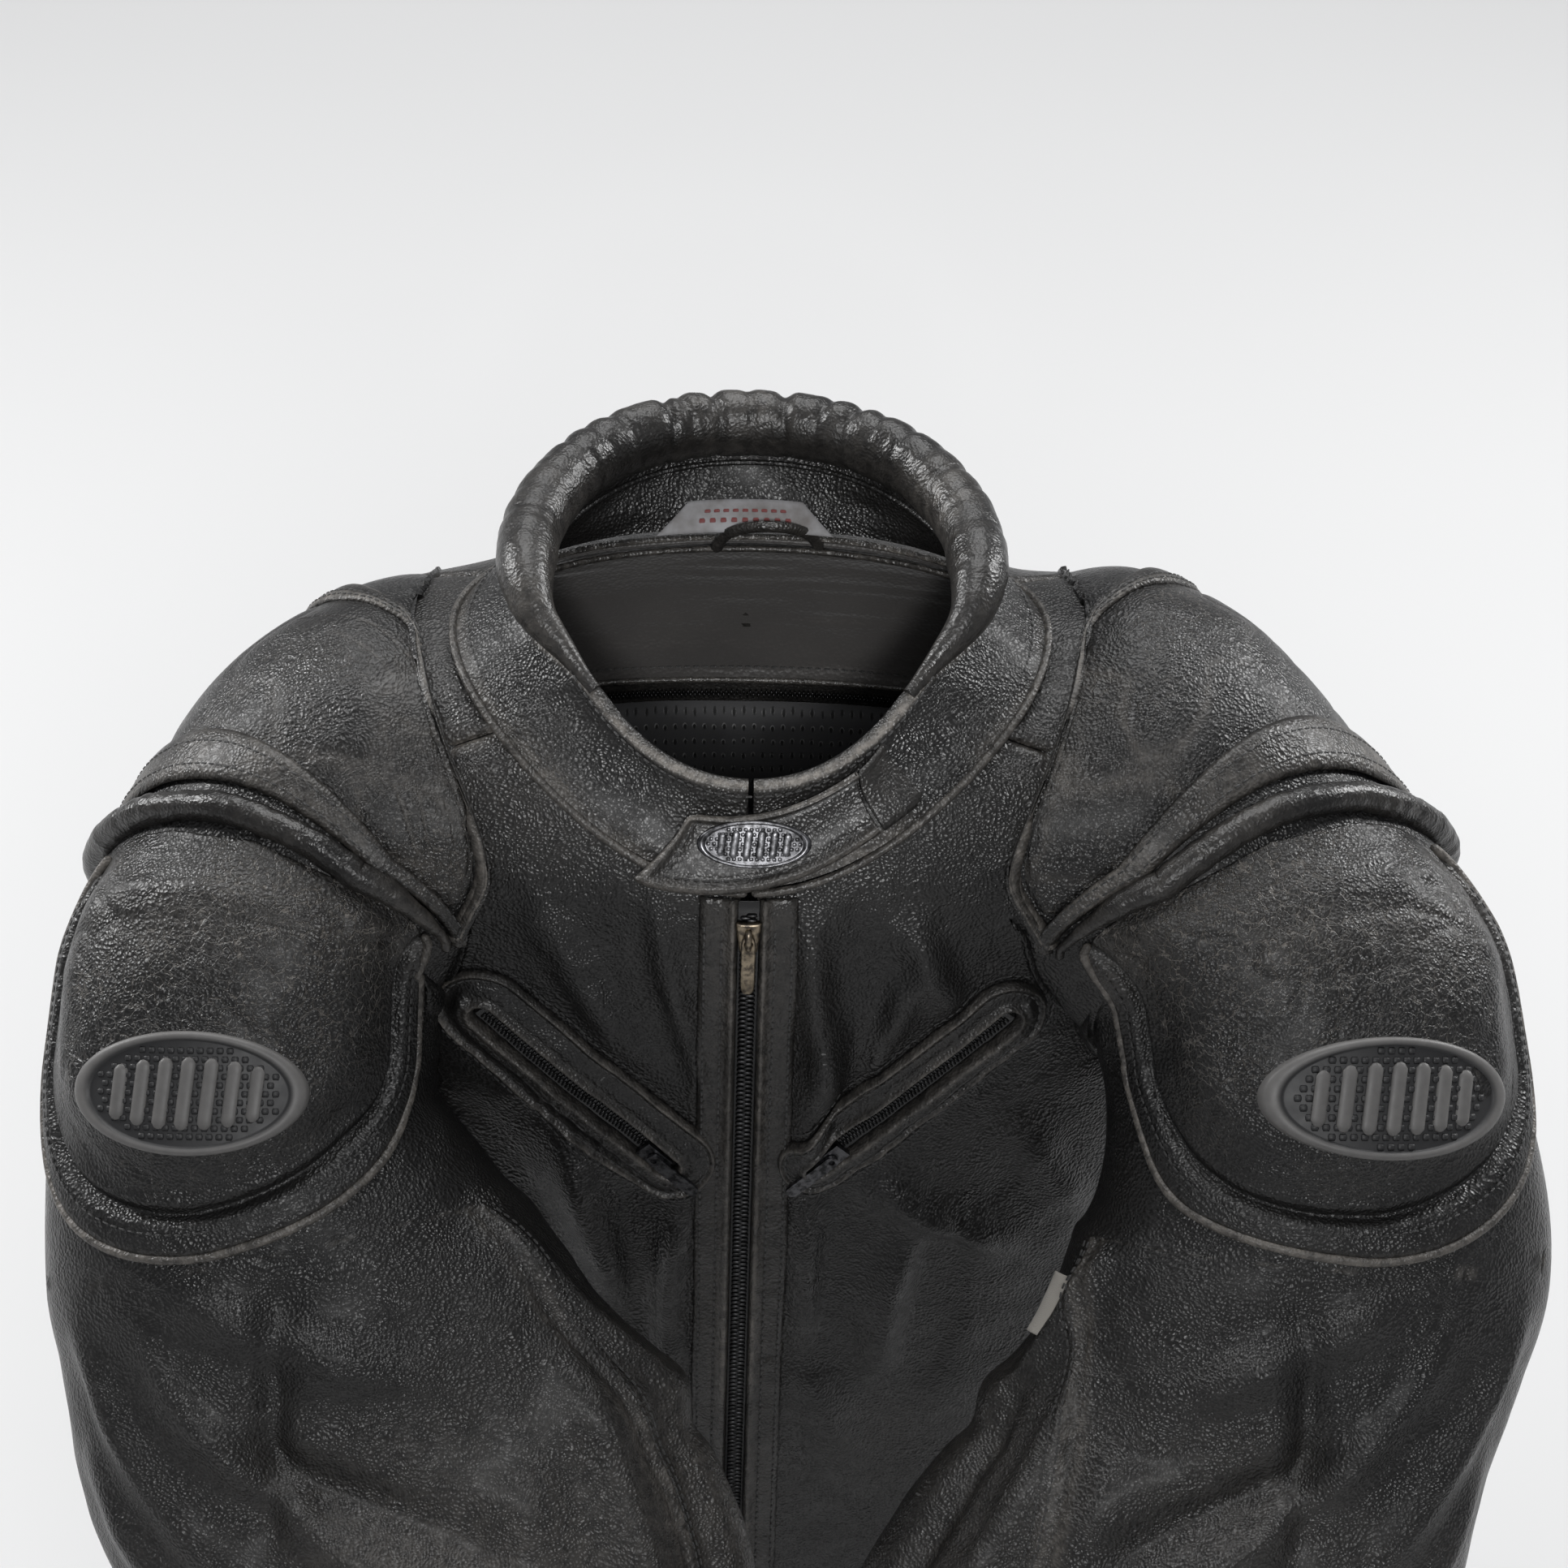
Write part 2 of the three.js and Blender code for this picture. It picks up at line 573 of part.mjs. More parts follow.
function makeMainZip() {
  const forward = vector(0, -1, 0);
  const chain = strip(zipAt(ZIP.bottom, 0), zipAt(ZIP.top, 0), ZIP.width, -0.6, ZIP.thickness, forward);
  add('zip_chain', chain, zipTape);
  const sliderFrom = zipAt(ZIP.top - 14, 0);
  const sliderTo = zipAt(ZIP.top - 1, 0);
  const sliderBack = ZIP.thickness + GAP;
  add('zip_slider', strip(sliderFrom, sliderTo, 9, sliderBack, sliderBack + 3, forward), brass);
  const eye = zipAt(ZIP.top - 8, sliderBack + 3 + GAP);
  const down = zipAt(ZIP.bottom, 0).sub(zipAt(ZIP.top, 0));
  add('zip_puller', puller(ZIP_PULLER, eye, down, forward), brass);
  sides.forEach(([name, side]) => {
    const placket = slab(1, 10, GAP, 2.3, (u, v, out) =>
      frontPoint(side * mix(FRONT_OPENING / 2 + 1.2, PLACKET_EDGE, u), mix(HEM_HEIGHT + 1, ZIP.top, v), out));
    add(`placket_${name}`, geometryOf(solid(placket).subtract(bodyClearance)), leather);
  });
  add('zip_bottom_box', strip(zipAt(4, 0), zipAt(ZIP.bottom - 0.5, 0), ZIP.width, -0.6, 3, forward), steel);
}

// ---- chest pockets ----
const CHAIN_HEIGHT = 1.6;
const SLIDER_ROOM = 0.5;      // on each side of the slider, in the frame's slot

// Point on the chest at distances along a pocket's slot and square to it
function pocketPlace(side) {
  const outer = new THREE.Vector2(side * POCKET.outer[0], POCKET.outer[1]);
  const inner = new THREE.Vector2(side * POCKET.inner[0], POCKET.inner[1]);
  const run = inner.clone().sub(outer);
  const length = run.length();
  run.normalize();
  const across = new THREE.Vector2(-run.y, run.x);
  const onChest = (along, aside, out) => {
    const place = outer.clone().addScaledVector(run, along).addScaledVector(across, aside);
    return frontPoint(place.x, place.y, out);
  };
  return { length, onChest };
}

// The zip runs straight between its ends, just clear of the chest's highest point under it
function pocketLine(side) {
  const { length, onChest } = pocketPlace(side);
  const bulge = Math.max(...range(0, 1, 10).map((share) => {
    const chord = onChest(0, 0, 0).lerp(onChest(length, 0, 0), share);
    return chord.distanceTo(onChest(length * share, 0, 0));
  }));
  const from = onChest(0, 0, bulge + 0.4);
  const to = onChest(length, 0, bulge + 0.4);
  const facing = onChest(length / 2, 0, 1).sub(onChest(length / 2, 0, 0));
  const along = to.clone().sub(from).normalize();
  const eye = to.clone().addScaledVector(along, -POCKET_SLIDER.length / 2)
    .addScaledVector(facing, CHAIN_HEIGHT + POCKET_SLIDER.height + 2 * GAP);
  return { from, to, facing, along, eye };
}

function makePocket(name, side) {
  const { length, onChest } = pocketPlace(side);
  const flat = (from, to, halfWidth) => (u, v, out) =>
    onChest(mix(from, to, u), mix(-halfWidth, halfWidth, v), out);
  const margin = 6;
  const frameHalf = POCKET.frameWidth / 2;
  const frame = solid(slab(8, 2, GAP, POCKET.frameThickness, flat(-margin, length + margin, frameHalf)));
  const slotHalf = POCKET_SLIDER.width / 2 + SLIDER_ROOM;
  const slot = solid(slab(8, 1, -1, POCKET.frameThickness + 3, flat(-1, length + 1, slotHalf)));
  const placketRoom = block(-PLACKET_EDGE - GAP, PLACKET_EDGE + GAP, -200, 0, 300, 500);
  add(`pocket_frame_${name}`, geometryOf(frame.subtract(slot).subtract(placketRoom)), leather);

  const { from, to, facing, along, eye } = pocketLine(side);
  add(`pocket_chain_${name}`, strip(from, to, POCKET.zipWidth, 0, CHAIN_HEIGHT, facing), zipTape);
  const sliderFrom = to.clone().addScaledVector(along, -POCKET_SLIDER.length);
  const back = CHAIN_HEIGHT + GAP;
  const slider = strip(sliderFrom, to, POCKET_SLIDER.width, back, back + POCKET_SLIDER.height, facing);
  add(`pocket_slider_${name}`, slider, steel);
  add(`pocket_puller_${name}`, puller(POCKET_PULLER, eye, along, facing), steel);

  const bag = slab(4, 3, -LEATHER - 1.6, -LEATHER - 3.2, (u, v, out) =>
    frontPoint(side * mix(28, 112, u), mix(300, 388, v) + 40 * u, out));
  add(`pocket_bag_${name}`, bag, cloth);
}

// ---- sleeves ----
const sleeveTurn = (step) => 2 * Math.PI * step / SLEEVE_SEGMENTS;

function sleeveSlab(side, turns, sections, inside, outside) {
  return gridSlab(turns, sections, inside, outside, (turn, section, out) =>
    sleevePoint(side, section, turn, out));
}

// Point on the arm's lifted face at offsets from the badge's middle
function badgePoint(side, sideways, down, out) {
  const section = 3.78 + (down + 0.25 * sideways) / 46;
  const halfWidth = rowAt(SLEEVE, section)[3];
  return sleevePoint(side, section, Math.acos((sideways + 2) / halfWidth), out);
}

// Section that the ridge passes through at a turn round the sleeve, lower down towards the outer side
function ridgeSection(around) {
  const turn = THREE.MathUtils.radToDeg(around);
  return Math.max(2.12 - 0.0075 * (turn - 62) - 0.012 * Math.max(turn - 94, 0), 1.35);
}

function shoulderSeam(around) {
  const turn = THREE.MathUtils.radToDeg(around);
  const next = Math.max(1, SHOULDER_SEAM.findIndex(([seamTurn]) => seamTurn >= turn));
  const [fromTurn, fromSection] = SHOULDER_SEAM[next - 1];
  const [toTurn, toSection] = SHOULDER_SEAM[next];
  return mix(fromSection, toSection, (turn - fromTurn) / (toTurn - fromTurn));
}

// The elbow's inner corner, sideways and down the plane of the arms
function armElbowCorner() {
  return new THREE.Vector2(
    ELBOW[0] - ELBOW[3] * Math.cos(FOREARM_TURN),
    ELBOW[1] - ELBOW[3] * Math.sin(FOREARM_TURN),
  );
}

function makeUpperSleeve(name, side) {
  const outside = sleeveSolid(side, 0, sleeveSections);
  const inside = sleeveSolid(side, -LEATHER, sleeveSections);
  const far = 300;
  // The mouth is cut back on the outer side, where the forearm swings up
  const cutBack = radians(35);
  const mouthTurn = Math.atan2(Math.sin(cutBack), 1 + Math.cos(cutBack));
  const mouth = warp(new THREE.BoxGeometry(2 * far, far, 2 * far), (x, y, z) => {
    const tilt = FOREARM_TURN - mouthTurn;
    const below = y + far / 2;
    const across = x + ELBOW[3];
    const corner = armElbowCorner();
    const sideways = corner.x + across * Math.cos(tilt) - below * Math.sin(tilt);
    const down = corner.y + across * Math.sin(tilt) + below * Math.cos(tilt);
    return armPoint(side, sideways, down, ELBOW[2] + z);
  });
  const elbowSolid = (stations, out) => solid(filledTube(stations, SLEEVE_SEGMENTS, (around, station) =>
    elbowTube(side, around, station, out)));
  const extended = elbowSolid([0, 1], 0);
  const extendedCore = elbowSolid([-0.02, 1.1], -LEATHER);
  const shell = outside.add(extended).subtract(inside).subtract(extendedCore);
  const opened = shell.subtract(bodyClearance).subtract(solid(mouth));
  add(`upper_sleeve_${name}`, geometryOf(opened), leather);

  const sleeveClearance = sleeveSolid(side, 0.5, sleeveSections);
  const laidOn = (geometry) => geometryOf(solid(geometry).subtract(sleeveClearance).subtract(bodyClearance));
  const ridgeGap = RIDGE_HALF + 0.1;
  const panel = slab(9, 3, SHOULDER_PANEL.inside, SHOULDER_PANEL.outside, (u, v, out) => {
    const around = radians(mix(SHOULDER_PANEL.first, SHOULDER_PANEL.last, u));
    return sleevePoint(side, mix(shoulderSeam(around), ridgeSection(around) - ridgeGap, v), around, out);
  });
  add(`shoulder_panel_${name}`, laidOn(panel), leather);
  const ridge = warp(new THREE.CylinderGeometry(1, 1, 1, 6, 9), (x, y, z) => {
    const around = radians(mix(-30, 124, y + 0.5));
    const section = ridgeSection(around) + RIDGE_HALF * x;
    return sleevePoint(side, section, around, 0.8 + Math.max(z, 0) * RIDGE_HEIGHT);
  });
  add(`shoulder_ridge_${name}`, laidOn(ridge), leather);
  const cup = cushion(8, 6, 0, CUP.rim, CUP.crown, (u, v, out) => {
    const innerTurn = mix(CUP.topTurn, CUP.lastTurn, THREE.MathUtils.smoothstep(v, 0, 0.6));
    const around = radians(mix(CUP.firstTurn, innerTurn, u));
    return sleevePoint(side, mix(ridgeSection(around) + CUP.below, CUP.bottom, v), around, out);
  });
  add(`shoulder_cup_${name}`, laidOn(cup), leather);
  const badge = disc(47, 23, CUP.crown + 1.3, CUP.crown + 4.3, (along, up, out) =>
    badgePoint(side, along, up, out));
  add(`cup_badge_${name}`, badge, rubber);
  const armourTurns = range(1, 7, 6).map(sleeveTurn);
  const armourOut = -LEATHER - 1;
  const armourIn = armourOut - SHOULDER_ARMOUR_THICKNESS;
  const armour = sleeveSlab(side, armourTurns, [3.1, 4, 4.5, 5], armourOut, armourIn);
  add(`shoulder_armour_${name}`, armour, foam);
}

// Straight end of the upper sleeve around the elbow's pivot
function elbowTube(side, around, station, out) {
  const along = mix(0, 60, station);
  const across = (ELBOW[3] + out) * Math.cos(around);
  const last = rowAt(SLEEVE, SLEEVE.length - 1);
  const before = rowAt(SLEEVE, SLEEVE.length - 1.001);
  const run = new THREE.Vector2(last[0] - before[0], last[1] - before[1]).normalize();
  return armPoint(
    side,
    last[0] + run.y * across + run.x * along,
    last[1] - run.x * across + run.y * along,
    last[2] + (ELBOW[4] + out) * Math.sin(around),
  );
}

function makeForearm(name, side) {
  const place = (around, along, out) => forearmPoint(side, along, around, out);
  const ball = [-0.62, -0.42, -0.2].map((share) => share * (ELBOW[3] - LEATHER - ELBOW_PLAY));
  const stations = [...ball, 0, 80, FOREARM_LENGTH - CUFF.bandLength, FOREARM_LENGTH];
  add(`forearm_sleeve_${name}`, hollowTube(stations, SLEEVE_SEGMENTS, 0, -LEATHER, place), leather);
  const bandFrom = FOREARM_LENGTH - CUFF.bandLength;
  const band = hollowTube([bandFrom, FOREARM_LENGTH - 1], SLEEVE_SEGMENTS, 2.6, GAP + 0.4, place);
  add(`cuff_band_${name}`, band, leather);
  const armourTurns = range(-3, 3, 6).map(sleeveTurn);
  const armour = gridSlab(armourTurns, [4, 80, 120], -LEATHER - 1, -LEATHER - 7, place);
  add(`elbow_armour_${name}`, armour, foam);
  const turn = radians(CUFF_ZIP.around);
  const from = forearmPoint(side, CUFF_ZIP.from, turn, GAP + 0.2);
  const to = forearmPoint(side, CUFF_ZIP.to, turn, GAP + 0.2);
  const facing = forearmPoint(side, CUFF_ZIP.from, turn, 1)
    .sub(forearmPoint(side, CUFF_ZIP.from, turn, 0))
    .normalize();
  add(`cuff_zip_chain_${name}`, strip(from, to, CUFF_ZIP.width, 0.4, 1.8, facing), zipTape);
  const share = 1 - 12 / from.distanceTo(to);
  add(`cuff_slider_${name}`, strip(from.clone().lerp(to, share), to, 8, 2.2, 4.6, facing), steel);
}

makeBody();
makeCollar();
makeCollarTab();
makeMainZip();
sides.forEach(([name, side]) => {
  makePocket(name, side);
  makeUpperSleeve(name, side);
  makeForearm(name, side);
});

add('sleeve_tag', sleeveSlab(1, range(136, 148, 2).map(radians), range(5.2, 5.7, 2), 1, 2), cloth);

export default jacket;
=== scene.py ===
# Looks of the leather riding jacket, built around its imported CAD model.
# Surfaces are worked out in millimetres round the neck's middle: +Z up, front towards -Y, the wearer's
# left towards +X. Finished pieces are in metres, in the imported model's frame.
import itertools
import math

import bpy
import numpy as np
from mathutils import Matrix, Vector
from mathutils.kdtree import KDTree


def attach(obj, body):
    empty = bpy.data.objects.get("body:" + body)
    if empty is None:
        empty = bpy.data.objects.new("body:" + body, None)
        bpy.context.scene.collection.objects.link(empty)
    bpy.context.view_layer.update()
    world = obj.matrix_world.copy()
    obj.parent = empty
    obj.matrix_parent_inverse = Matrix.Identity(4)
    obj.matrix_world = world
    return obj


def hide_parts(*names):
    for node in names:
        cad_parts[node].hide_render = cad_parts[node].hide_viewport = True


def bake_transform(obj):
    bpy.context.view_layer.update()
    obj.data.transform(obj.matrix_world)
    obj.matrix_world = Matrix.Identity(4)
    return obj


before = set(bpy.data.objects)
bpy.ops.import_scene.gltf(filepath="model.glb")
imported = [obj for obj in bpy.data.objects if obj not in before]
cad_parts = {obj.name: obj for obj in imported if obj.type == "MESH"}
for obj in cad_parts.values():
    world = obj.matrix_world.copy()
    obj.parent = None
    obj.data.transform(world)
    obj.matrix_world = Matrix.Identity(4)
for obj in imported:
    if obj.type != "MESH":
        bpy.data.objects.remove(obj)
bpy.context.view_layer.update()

# ---- driving dimensions, as in the CAD model ----
FORWARD_REACH = 122.2
# height at the side, front and back, half width, front and back depth, from the hem to the neck seam
BODY = [
    [0, 0, 0, 190, 103, 108],
    [60, 60, 60, 188, 101, 104],
    [150, 150, 150, 182, 98.2, 98],
    [240, 240, 240, 186, 95.2, 102],
    [330, 330, 330, 190, 92.3, 106],
    [400, 400, 400, 192, 90, 108],
    [460, 442, 462, 190, 88.8, 106],
    [505, 475, 505, 180, 88, 101],
    [535, 497, 534, 152, 86.8, 92],
    [553, 509, 550, 124, 85.6, 81],
    [561, 516, 555, 103, 84, 70],
]
BODY_SQUARENESS = 2.25
HEM_HEIGHT = 42
YOKE_HEIGHT = 430
SIDE_SEAM_FRONT = 58
SIDE_SEAM_BACK = 122
COLLAR = {"half_width": 70, "front": 68, "back": 92, "front_top": 550, "side_top": 596, "back_top": 602}
ROLL_DROP = 0.5
COLLAR_LIFT = 2.2
COLLAR_THICKNESS = 6
REACH_TILT = math.radians(40)
SHOULDER_Z = 455
SHOULDER_Y = 5
# sideways, down the arms' plane, lift off it, half width on the outer side and at the chest, half thickness
SLEEVE = [
    [95, -10, 14, 86, 86, 76],
    [134, -6, 26, 84, 84, 74],
    [164, 12, 38, 78, 78, 67],
    [176, 46, 49, 71, 71, 58],
    [180, 90, 55, 72, 72, 52],
    [179, 138, 56, 86, 88, 50],
    [166, 186, 55, 98, 104, 49],
    [150, 234, 52, 104, 124, 47],
    [124, 304, 52, 86, 106, 46],
    [97, 372, 50, 68, 80, 43],
    [69, 440, 51, 51, 52, 39],
]
# what differs on the wearer's right and left: the half widths at the chest and the shift sideways
SLEEVE_OUTER = {-1: [86, 87, 77, 66, 65, 76, 84, 84, 70, 60, 51],
                1: [86, 88, 82, 79, 79, 86, 84, 88, 80, 68, 51]}
SLEEVE_INNER = {-1: [86, 84, 78, 71, 74, 90, 106, 128, 132, 86, 51],
                1: [86, 84, 78, 71, 72, 84, 88, 96, 106, 84, 51]}
SLEEVE_SHIFT = {-1: [0, 0, 0, 0, 1, -7, -11, -11, -7, 0, 0], 1: [0, 6, 12, 17, 21, 24, 24, 21, 14, 4, 0]}
# turn (degrees) and section of the seam between the shoulder panel and the leather above it
SHOULDER_SEAM = [[-60, 1.75], [-4, 1.56], [22, 1.17], [36, 0.45], [50, 0.06], [92, 0.06], [106, 0.45],
                 [119, 1.3]]
# how far the worn shoulders stand up beside the collar
SHOULDER_RISE = {-1: 9, 1: 19}
CUP = {"first": 14, "top_last": 128, "last": 154, "bottom": 4.92, "below": 0.13}
ELBOW_SECTION = 7
CUFF_SECTION = 10
ARMHOLE = {"angle": 84, "level": 0.7, "angle_reach": 54, "level_reach": 0.225, "radius": 105}
TUCKED_UNDER = 58  # how far the body's leather runs on inside the armholes, under the sleeves
MM_PER_DEGREE = 2.9  # round the body, for the pitch of its surfaces
MM_PER_LEVEL = 580
SLEEVE_HEAD = 3.2
TAB = {"free": -20.5, "slant": 5, "root": 27, "low": 0.08, "high": 0.9, "drop": 0.3, "out": 5.2,
       "thickness": 2.6}
ZIP_TOP = 508
ZIP_BOTTOM = 16
PLACKET_EDGE = 17
POCKET_OUTER = (92, 456)
POCKET_INNER = (27, 393)
LEATHER = 2.6
SIDES = (("right", -1), ("left", 1))
MILLIMETRE = 0.001


# ---- small maths ----
def smoothstep(value, low, high):
    share = np.clip((np.asarray(value, float) - low) / (high - low), 0, 1)
    return share * share * (3 - 2 * share)


def hump(value, middle, reach):
    return np.exp(-(((np.asarray(value, float) - middle) / reach) ** 2))


def signed_power(value, power):
    return np.sign(value) * np.abs(value) ** power


def unit(vectors):
    return vectors / np.maximum(np.linalg.norm(vectors, axis=-1, keepdims=True), 1e-12)


def stack(x, y, z):
    return np.stack(np.broadcast_arrays(x, y, z), axis=-1).astype(float)


def row_at(table, place):
    """Smooth curve through a table's rows, at row numbers that may lie between rows."""
    rows = np.asarray(table, float)
    last = len(rows) - 1
    at = np.clip(place, 0, last - 1e-9)
    row = np.floor(at).astype(int)
    part = (at - row)[..., None]
    before = rows[np.maximum(row - 1, 0)]
    here = rows[row]
    after = rows[np.minimum(row + 1, last)]
    later = rows[np.minimum(row + 2, last)]
    leave = (after - before) / 2
    arrive = (later - here) / 2
    square = part * part
    cube = square * part
    found = (2 * cube - 3 * square + 1) * here + (cube - 2 * square + part) * leave
    found += (3 * square - 2 * cube) * after + (cube - square) * arrive
    return np.moveaxis(found, -1, 0)


def cell_values(cells, seed):
    """A number from -1 to 1 for each whole-numbered cell, always the same one."""
    mixed = (cells[..., 0] * 374761393 + cells[..., 1] * 668265263 + cells[..., 2] * 1274126177 + seed
             * 974634777)
    mixed = (mixed ^ (mixed >> 13)) & 0xFFFFFFFF
    mixed = (mixed * 1103515245 + 12345) & 0xFFFFFFFF
    mixed = (mixed ^ (mixed >> 16)) & 0xFFFF
    return mixed / 32767.5 - 1


def noise(points, size, seed=0):
    """Smooth noise from -1 to 1 whose lumps are about size millimetres; size may be one for each axis."""
    scaled = points / np.asarray(size, float)
    cell = np.floor(scaled).astype(np.int64)
    part = scaled - cell
    ease = part * part * (3 - 2 * part)
    total = np.zeros(points.shape[:-1])
    for corner in itertools.product((0, 1), repeat=3):
        weight = np.prod(np.where(np.array(corner) == 1, ease, 1 - ease), axis=-1)
        total += weight * cell_values(cell + np.array(corner), seed)
    return total


def creases(points, size, seed=0):
    """From 0 to 1: thin wandering lines where it is near 1."""
    wander = stack(*(noise(points, size, seed + 7 * axis) for axis in range(3))) * np.mean(size) * 0.45
    return 1 - np.minimum(np.abs(noise(points + wander, size, seed + 31)) * 3, 1)


# ---- body surface: angle in radians from the front, level 0 at the hem to 1 at the neck seam ----
def ring_point(angle, half_width, front, back, side_z, front_z, back_z, power, settle):
    cosine = np.cos(angle)
    end = np.abs(cosine) ** settle
    x = half_width * signed_power(np.sin(angle), power)
    y = np.where(cosine > 0, -front, back) * np.abs(cosine) ** power
    return stack(x, y, side_z + (np.where(cosine > 0, front_z, back_z) - side_z) * end)


def body_power(level):
    return 2 / (BODY_SQUARENESS + (2 - BODY_SQUARENESS) * np.clip((level - 0.8) / 0.2, 0, 1))


def body_skin(angle, level):
    inside = np.clip(level, 0, 1)
    side, front, back, half_width, front_depth, back_depth = row_at(BODY, inside * (len(BODY) - 1))
    return ring_point(angle, half_width, front_depth, back_depth, side, front, back, body_power(inside), 3)


def off_surface(skin, u, v, out, u_step, v_step, v_top):
    around = skin(u + u_step, v) - skin(u - u_step, v)
    upward = skin(u, np.minimum(v + v_step, v_top)) - skin(u, v - v_step)
    return skin(u, v) + unit(np.cross(around, upward)) * np.asarray(out, float)[..., None]


def body_point(angle, level, out):
    angle, level, out = np.broadcast_arrays(np.asarray(angle, float), level, out)
    return off_surface(body_skin, angle, level, out, 1e-3, 1e-3, 1)


def angle_at(x, level):
    half_width = row_at(BODY, level * (len(BODY) - 1))[3]
    return np.arcsin(signed_power(np.clip(x / half_width, -1, 1), 1 / body_power(level)))


def front_place(x, z):
    """The angle and level of the point on the front at a sideways place and a height."""
    x, z = np.broadcast_arrays(np.asarray(x, float), z)
    low = np.zeros(x.shape)
    high = np.ones(x.shape)
    for _ in range(24):
        level = (low + high) / 2
        below = body_skin(angle_at(x, level), level)[..., 2] < z
        low = np.where(below, level, low)
        high = np.where(below, high, level)
    level = (low + high) / 2
    return angle_at(x, level), level


def level_at(height):
    return float(np.interp(height, [row[0] for row in BODY], np.linspace(0, 1, len(BODY))))


# Folds on the front: x and z where each begins and ends, its half width, and how far it stands out
FRONT_FOLDS = [
    [-74, 505, -40, 440, 9, 2.6],
    [-52, 508, -22, 430, 6, -2.4],
    [-34, 505, -14, 420, 5, 2.8],
    [-88, 486, -60, 452, 8, -2.0],
    [20, 498, 30, 424, 6, 4.4],
    [38, 506, 46, 452, 5, -2.8],
    [28, 456, 21, 392, 6, 4.0],
    [44, 450, 34, 408, 5, -3.0],
    [56, 500, 72, 462, 7, 3.2],
    [80, 492, 104, 452, 7, -2.6],
    [58, 478, 40, 430, 6, 3.0],
    [-24, 366, -30, 290, 6, 3.8],
    [-42, 372, -34, 300, 6, -3.4],
    [-66, 396, -44, 320, 8, 3.8],
    [-96, 400, -70, 340, 9, -2.6],
    [-20, 300, -40, 230, 9, 2.6],
    [22, 372, 26, 300, 7, 4.2],
    [38, 362, 34, 280, 6, -3.6],
    [50, 376, 96, 340, 7, 3.8],
    [60, 350, 52, 280, 8, 3.4],
    [78, 352, 68, 280, 8, -2.8],
    [24, 290, 44, 220, 9, 2.6],
    [100, 400, 128, 350, 9, 2.6],
]


def fold_height(x, z, folds):
    total = np.zeros(np.shape(x))
    for x0, z0, x1, z1, reach, height in folds:
        run = np.array([x1 - x0, z1 - z0], float)
        length = np.linalg.norm(run)
        run /= length
        along = (x - x0) * run[0] + (z - z0) * run[1]
        aside = (x - x0) * run[1] - (z - z0) * run[0]
        ends = smoothstep(along, -0.25 * length,
                          0.3 * length) * (1 - smoothstep(along, 0.7 * length, 1.25 * length))
        total += height * ends * hump(aside + 0.0012 * (along - length / 2) ** 2, 0, reach)
    return total


def shallow(height):
    """Folds that keep their crests, and whose hollows stay clear of what lies inside the leather."""
    return np.where(height < 0, -1.1 * (1 - np.exp(np.minimum(height, 0) / 1.1)), height)


def body_folds(points):
    """How far the worn leather stands off the body's base surface."""
    x, y, z = points[..., 0], points[..., 1], points[..., 2]
    calm = smoothstep(z, 30, 80) * (1 - 0.75 * smoothstep(z, 490, 545))
    soft = 2.0 * noise(points, (42, 42, 95), 3) + 1.5 * noise(points, (20, 20, 38), 5)
    fine = 0.35 * noise(points, 11, 8) - 0.5 * creases(points, (30, 30, 44), 12)
    front = fold_height(x, z, FRONT_FOLDS) * smoothstep(-y, 20, 60) * smoothstep(np.abs(x), 9, 20)
    waist = 2.2 * noise(points * (1, 1, 1), (70, 70, 22), 17) * hump(z, 150, 70)
    return shallow(calm * (soft + fine + waist) + 1.9 * front)


def jacket_skin(angle, level, out):
    base = body_point(angle, level, 0)
    return body_point(angle, level, body_folds(base) + out)


def chest_point(x, z, out):
    angle, level = front_place(x, z)
    return jacket_skin(angle, level, out)


# ---- collar surface: height 0 at the neck seam to 1 at the top edge ----
def collar_skin(angle, height):
    seam = body_skin(angle, np.ones(np.shape(angle)))
    seam[..., 2] += COLLAR_LIFT
    top = ring_point(angle, COLLAR["half_width"], COLLAR["front"], COLLAR["back"], COLLAR["side_top"],
                     COLLAR["front_top"], COLLAR["back_top"], 0.95, 1.6)
    upright = np.asarray(height)[..., None]
    lean = upright * (2 - upright)
    return seam + (top - seam) * np.concatenate([lean, lean, upright], axis=-1)


def collar_point(angle, height, out):
    angle, height, out = np.broadcast_arrays(np.asarray(angle, float), height, out)
    return off_surface(collar_skin, angle, height, out, 1e-3, 1e-3, 9)


def stand_top(angle):
    """The stand is lower where the padded roll sits on it, round the back."""
    return 1 - ROLL_DROP * smoothstep(np.abs(angle), math.radians(45), math.radians(75))


# ---- sleeve surface: around 0 is the outer side, a quarter turn the lifted face ----
DOWN = np.array([0, -math.sin(REACH_TILT), -math.cos(REACH_TILT)])
LIFT = np.array([0, -math.cos(REACH_TILT), math.sin(REACH_TILT)])


def arm_point(sideways, down, lift):
    middle = stack(sideways, SHOULDER_Y, SHOULDER_Z)
    return middle + np.asarray(down)[..., None] * DOWN + np.asarray(lift)[..., None] * LIFT


def armhole_place(around, out):
    size = 1 + out / ARMHOLE["radius"]
    upward = size * (0.77 * np.cos(around) + 0.64 * np.sin(around))
    forward = size * (0.77 * np.sin(around) - 0.64 * np.cos(around))
    angle = np.radians(ARMHOLE["angle"] - ARMHOLE["angle_reach"] * forward)
    return angle, ARMHOLE["level"] + ARMHOLE["level_reach"] * upward


def armhole_size(angle, level):
    """1 on the armhole's edge, less inside it, for an angle on either side."""
    forward = (ARMHOLE["angle"] - np.degrees(np.abs(angle))) / ARMHOLE["angle_reach"]
    upward = (level - ARMHOLE["level"]) / ARMHOLE["level_reach"]
    return np.hypot(forward, upward)


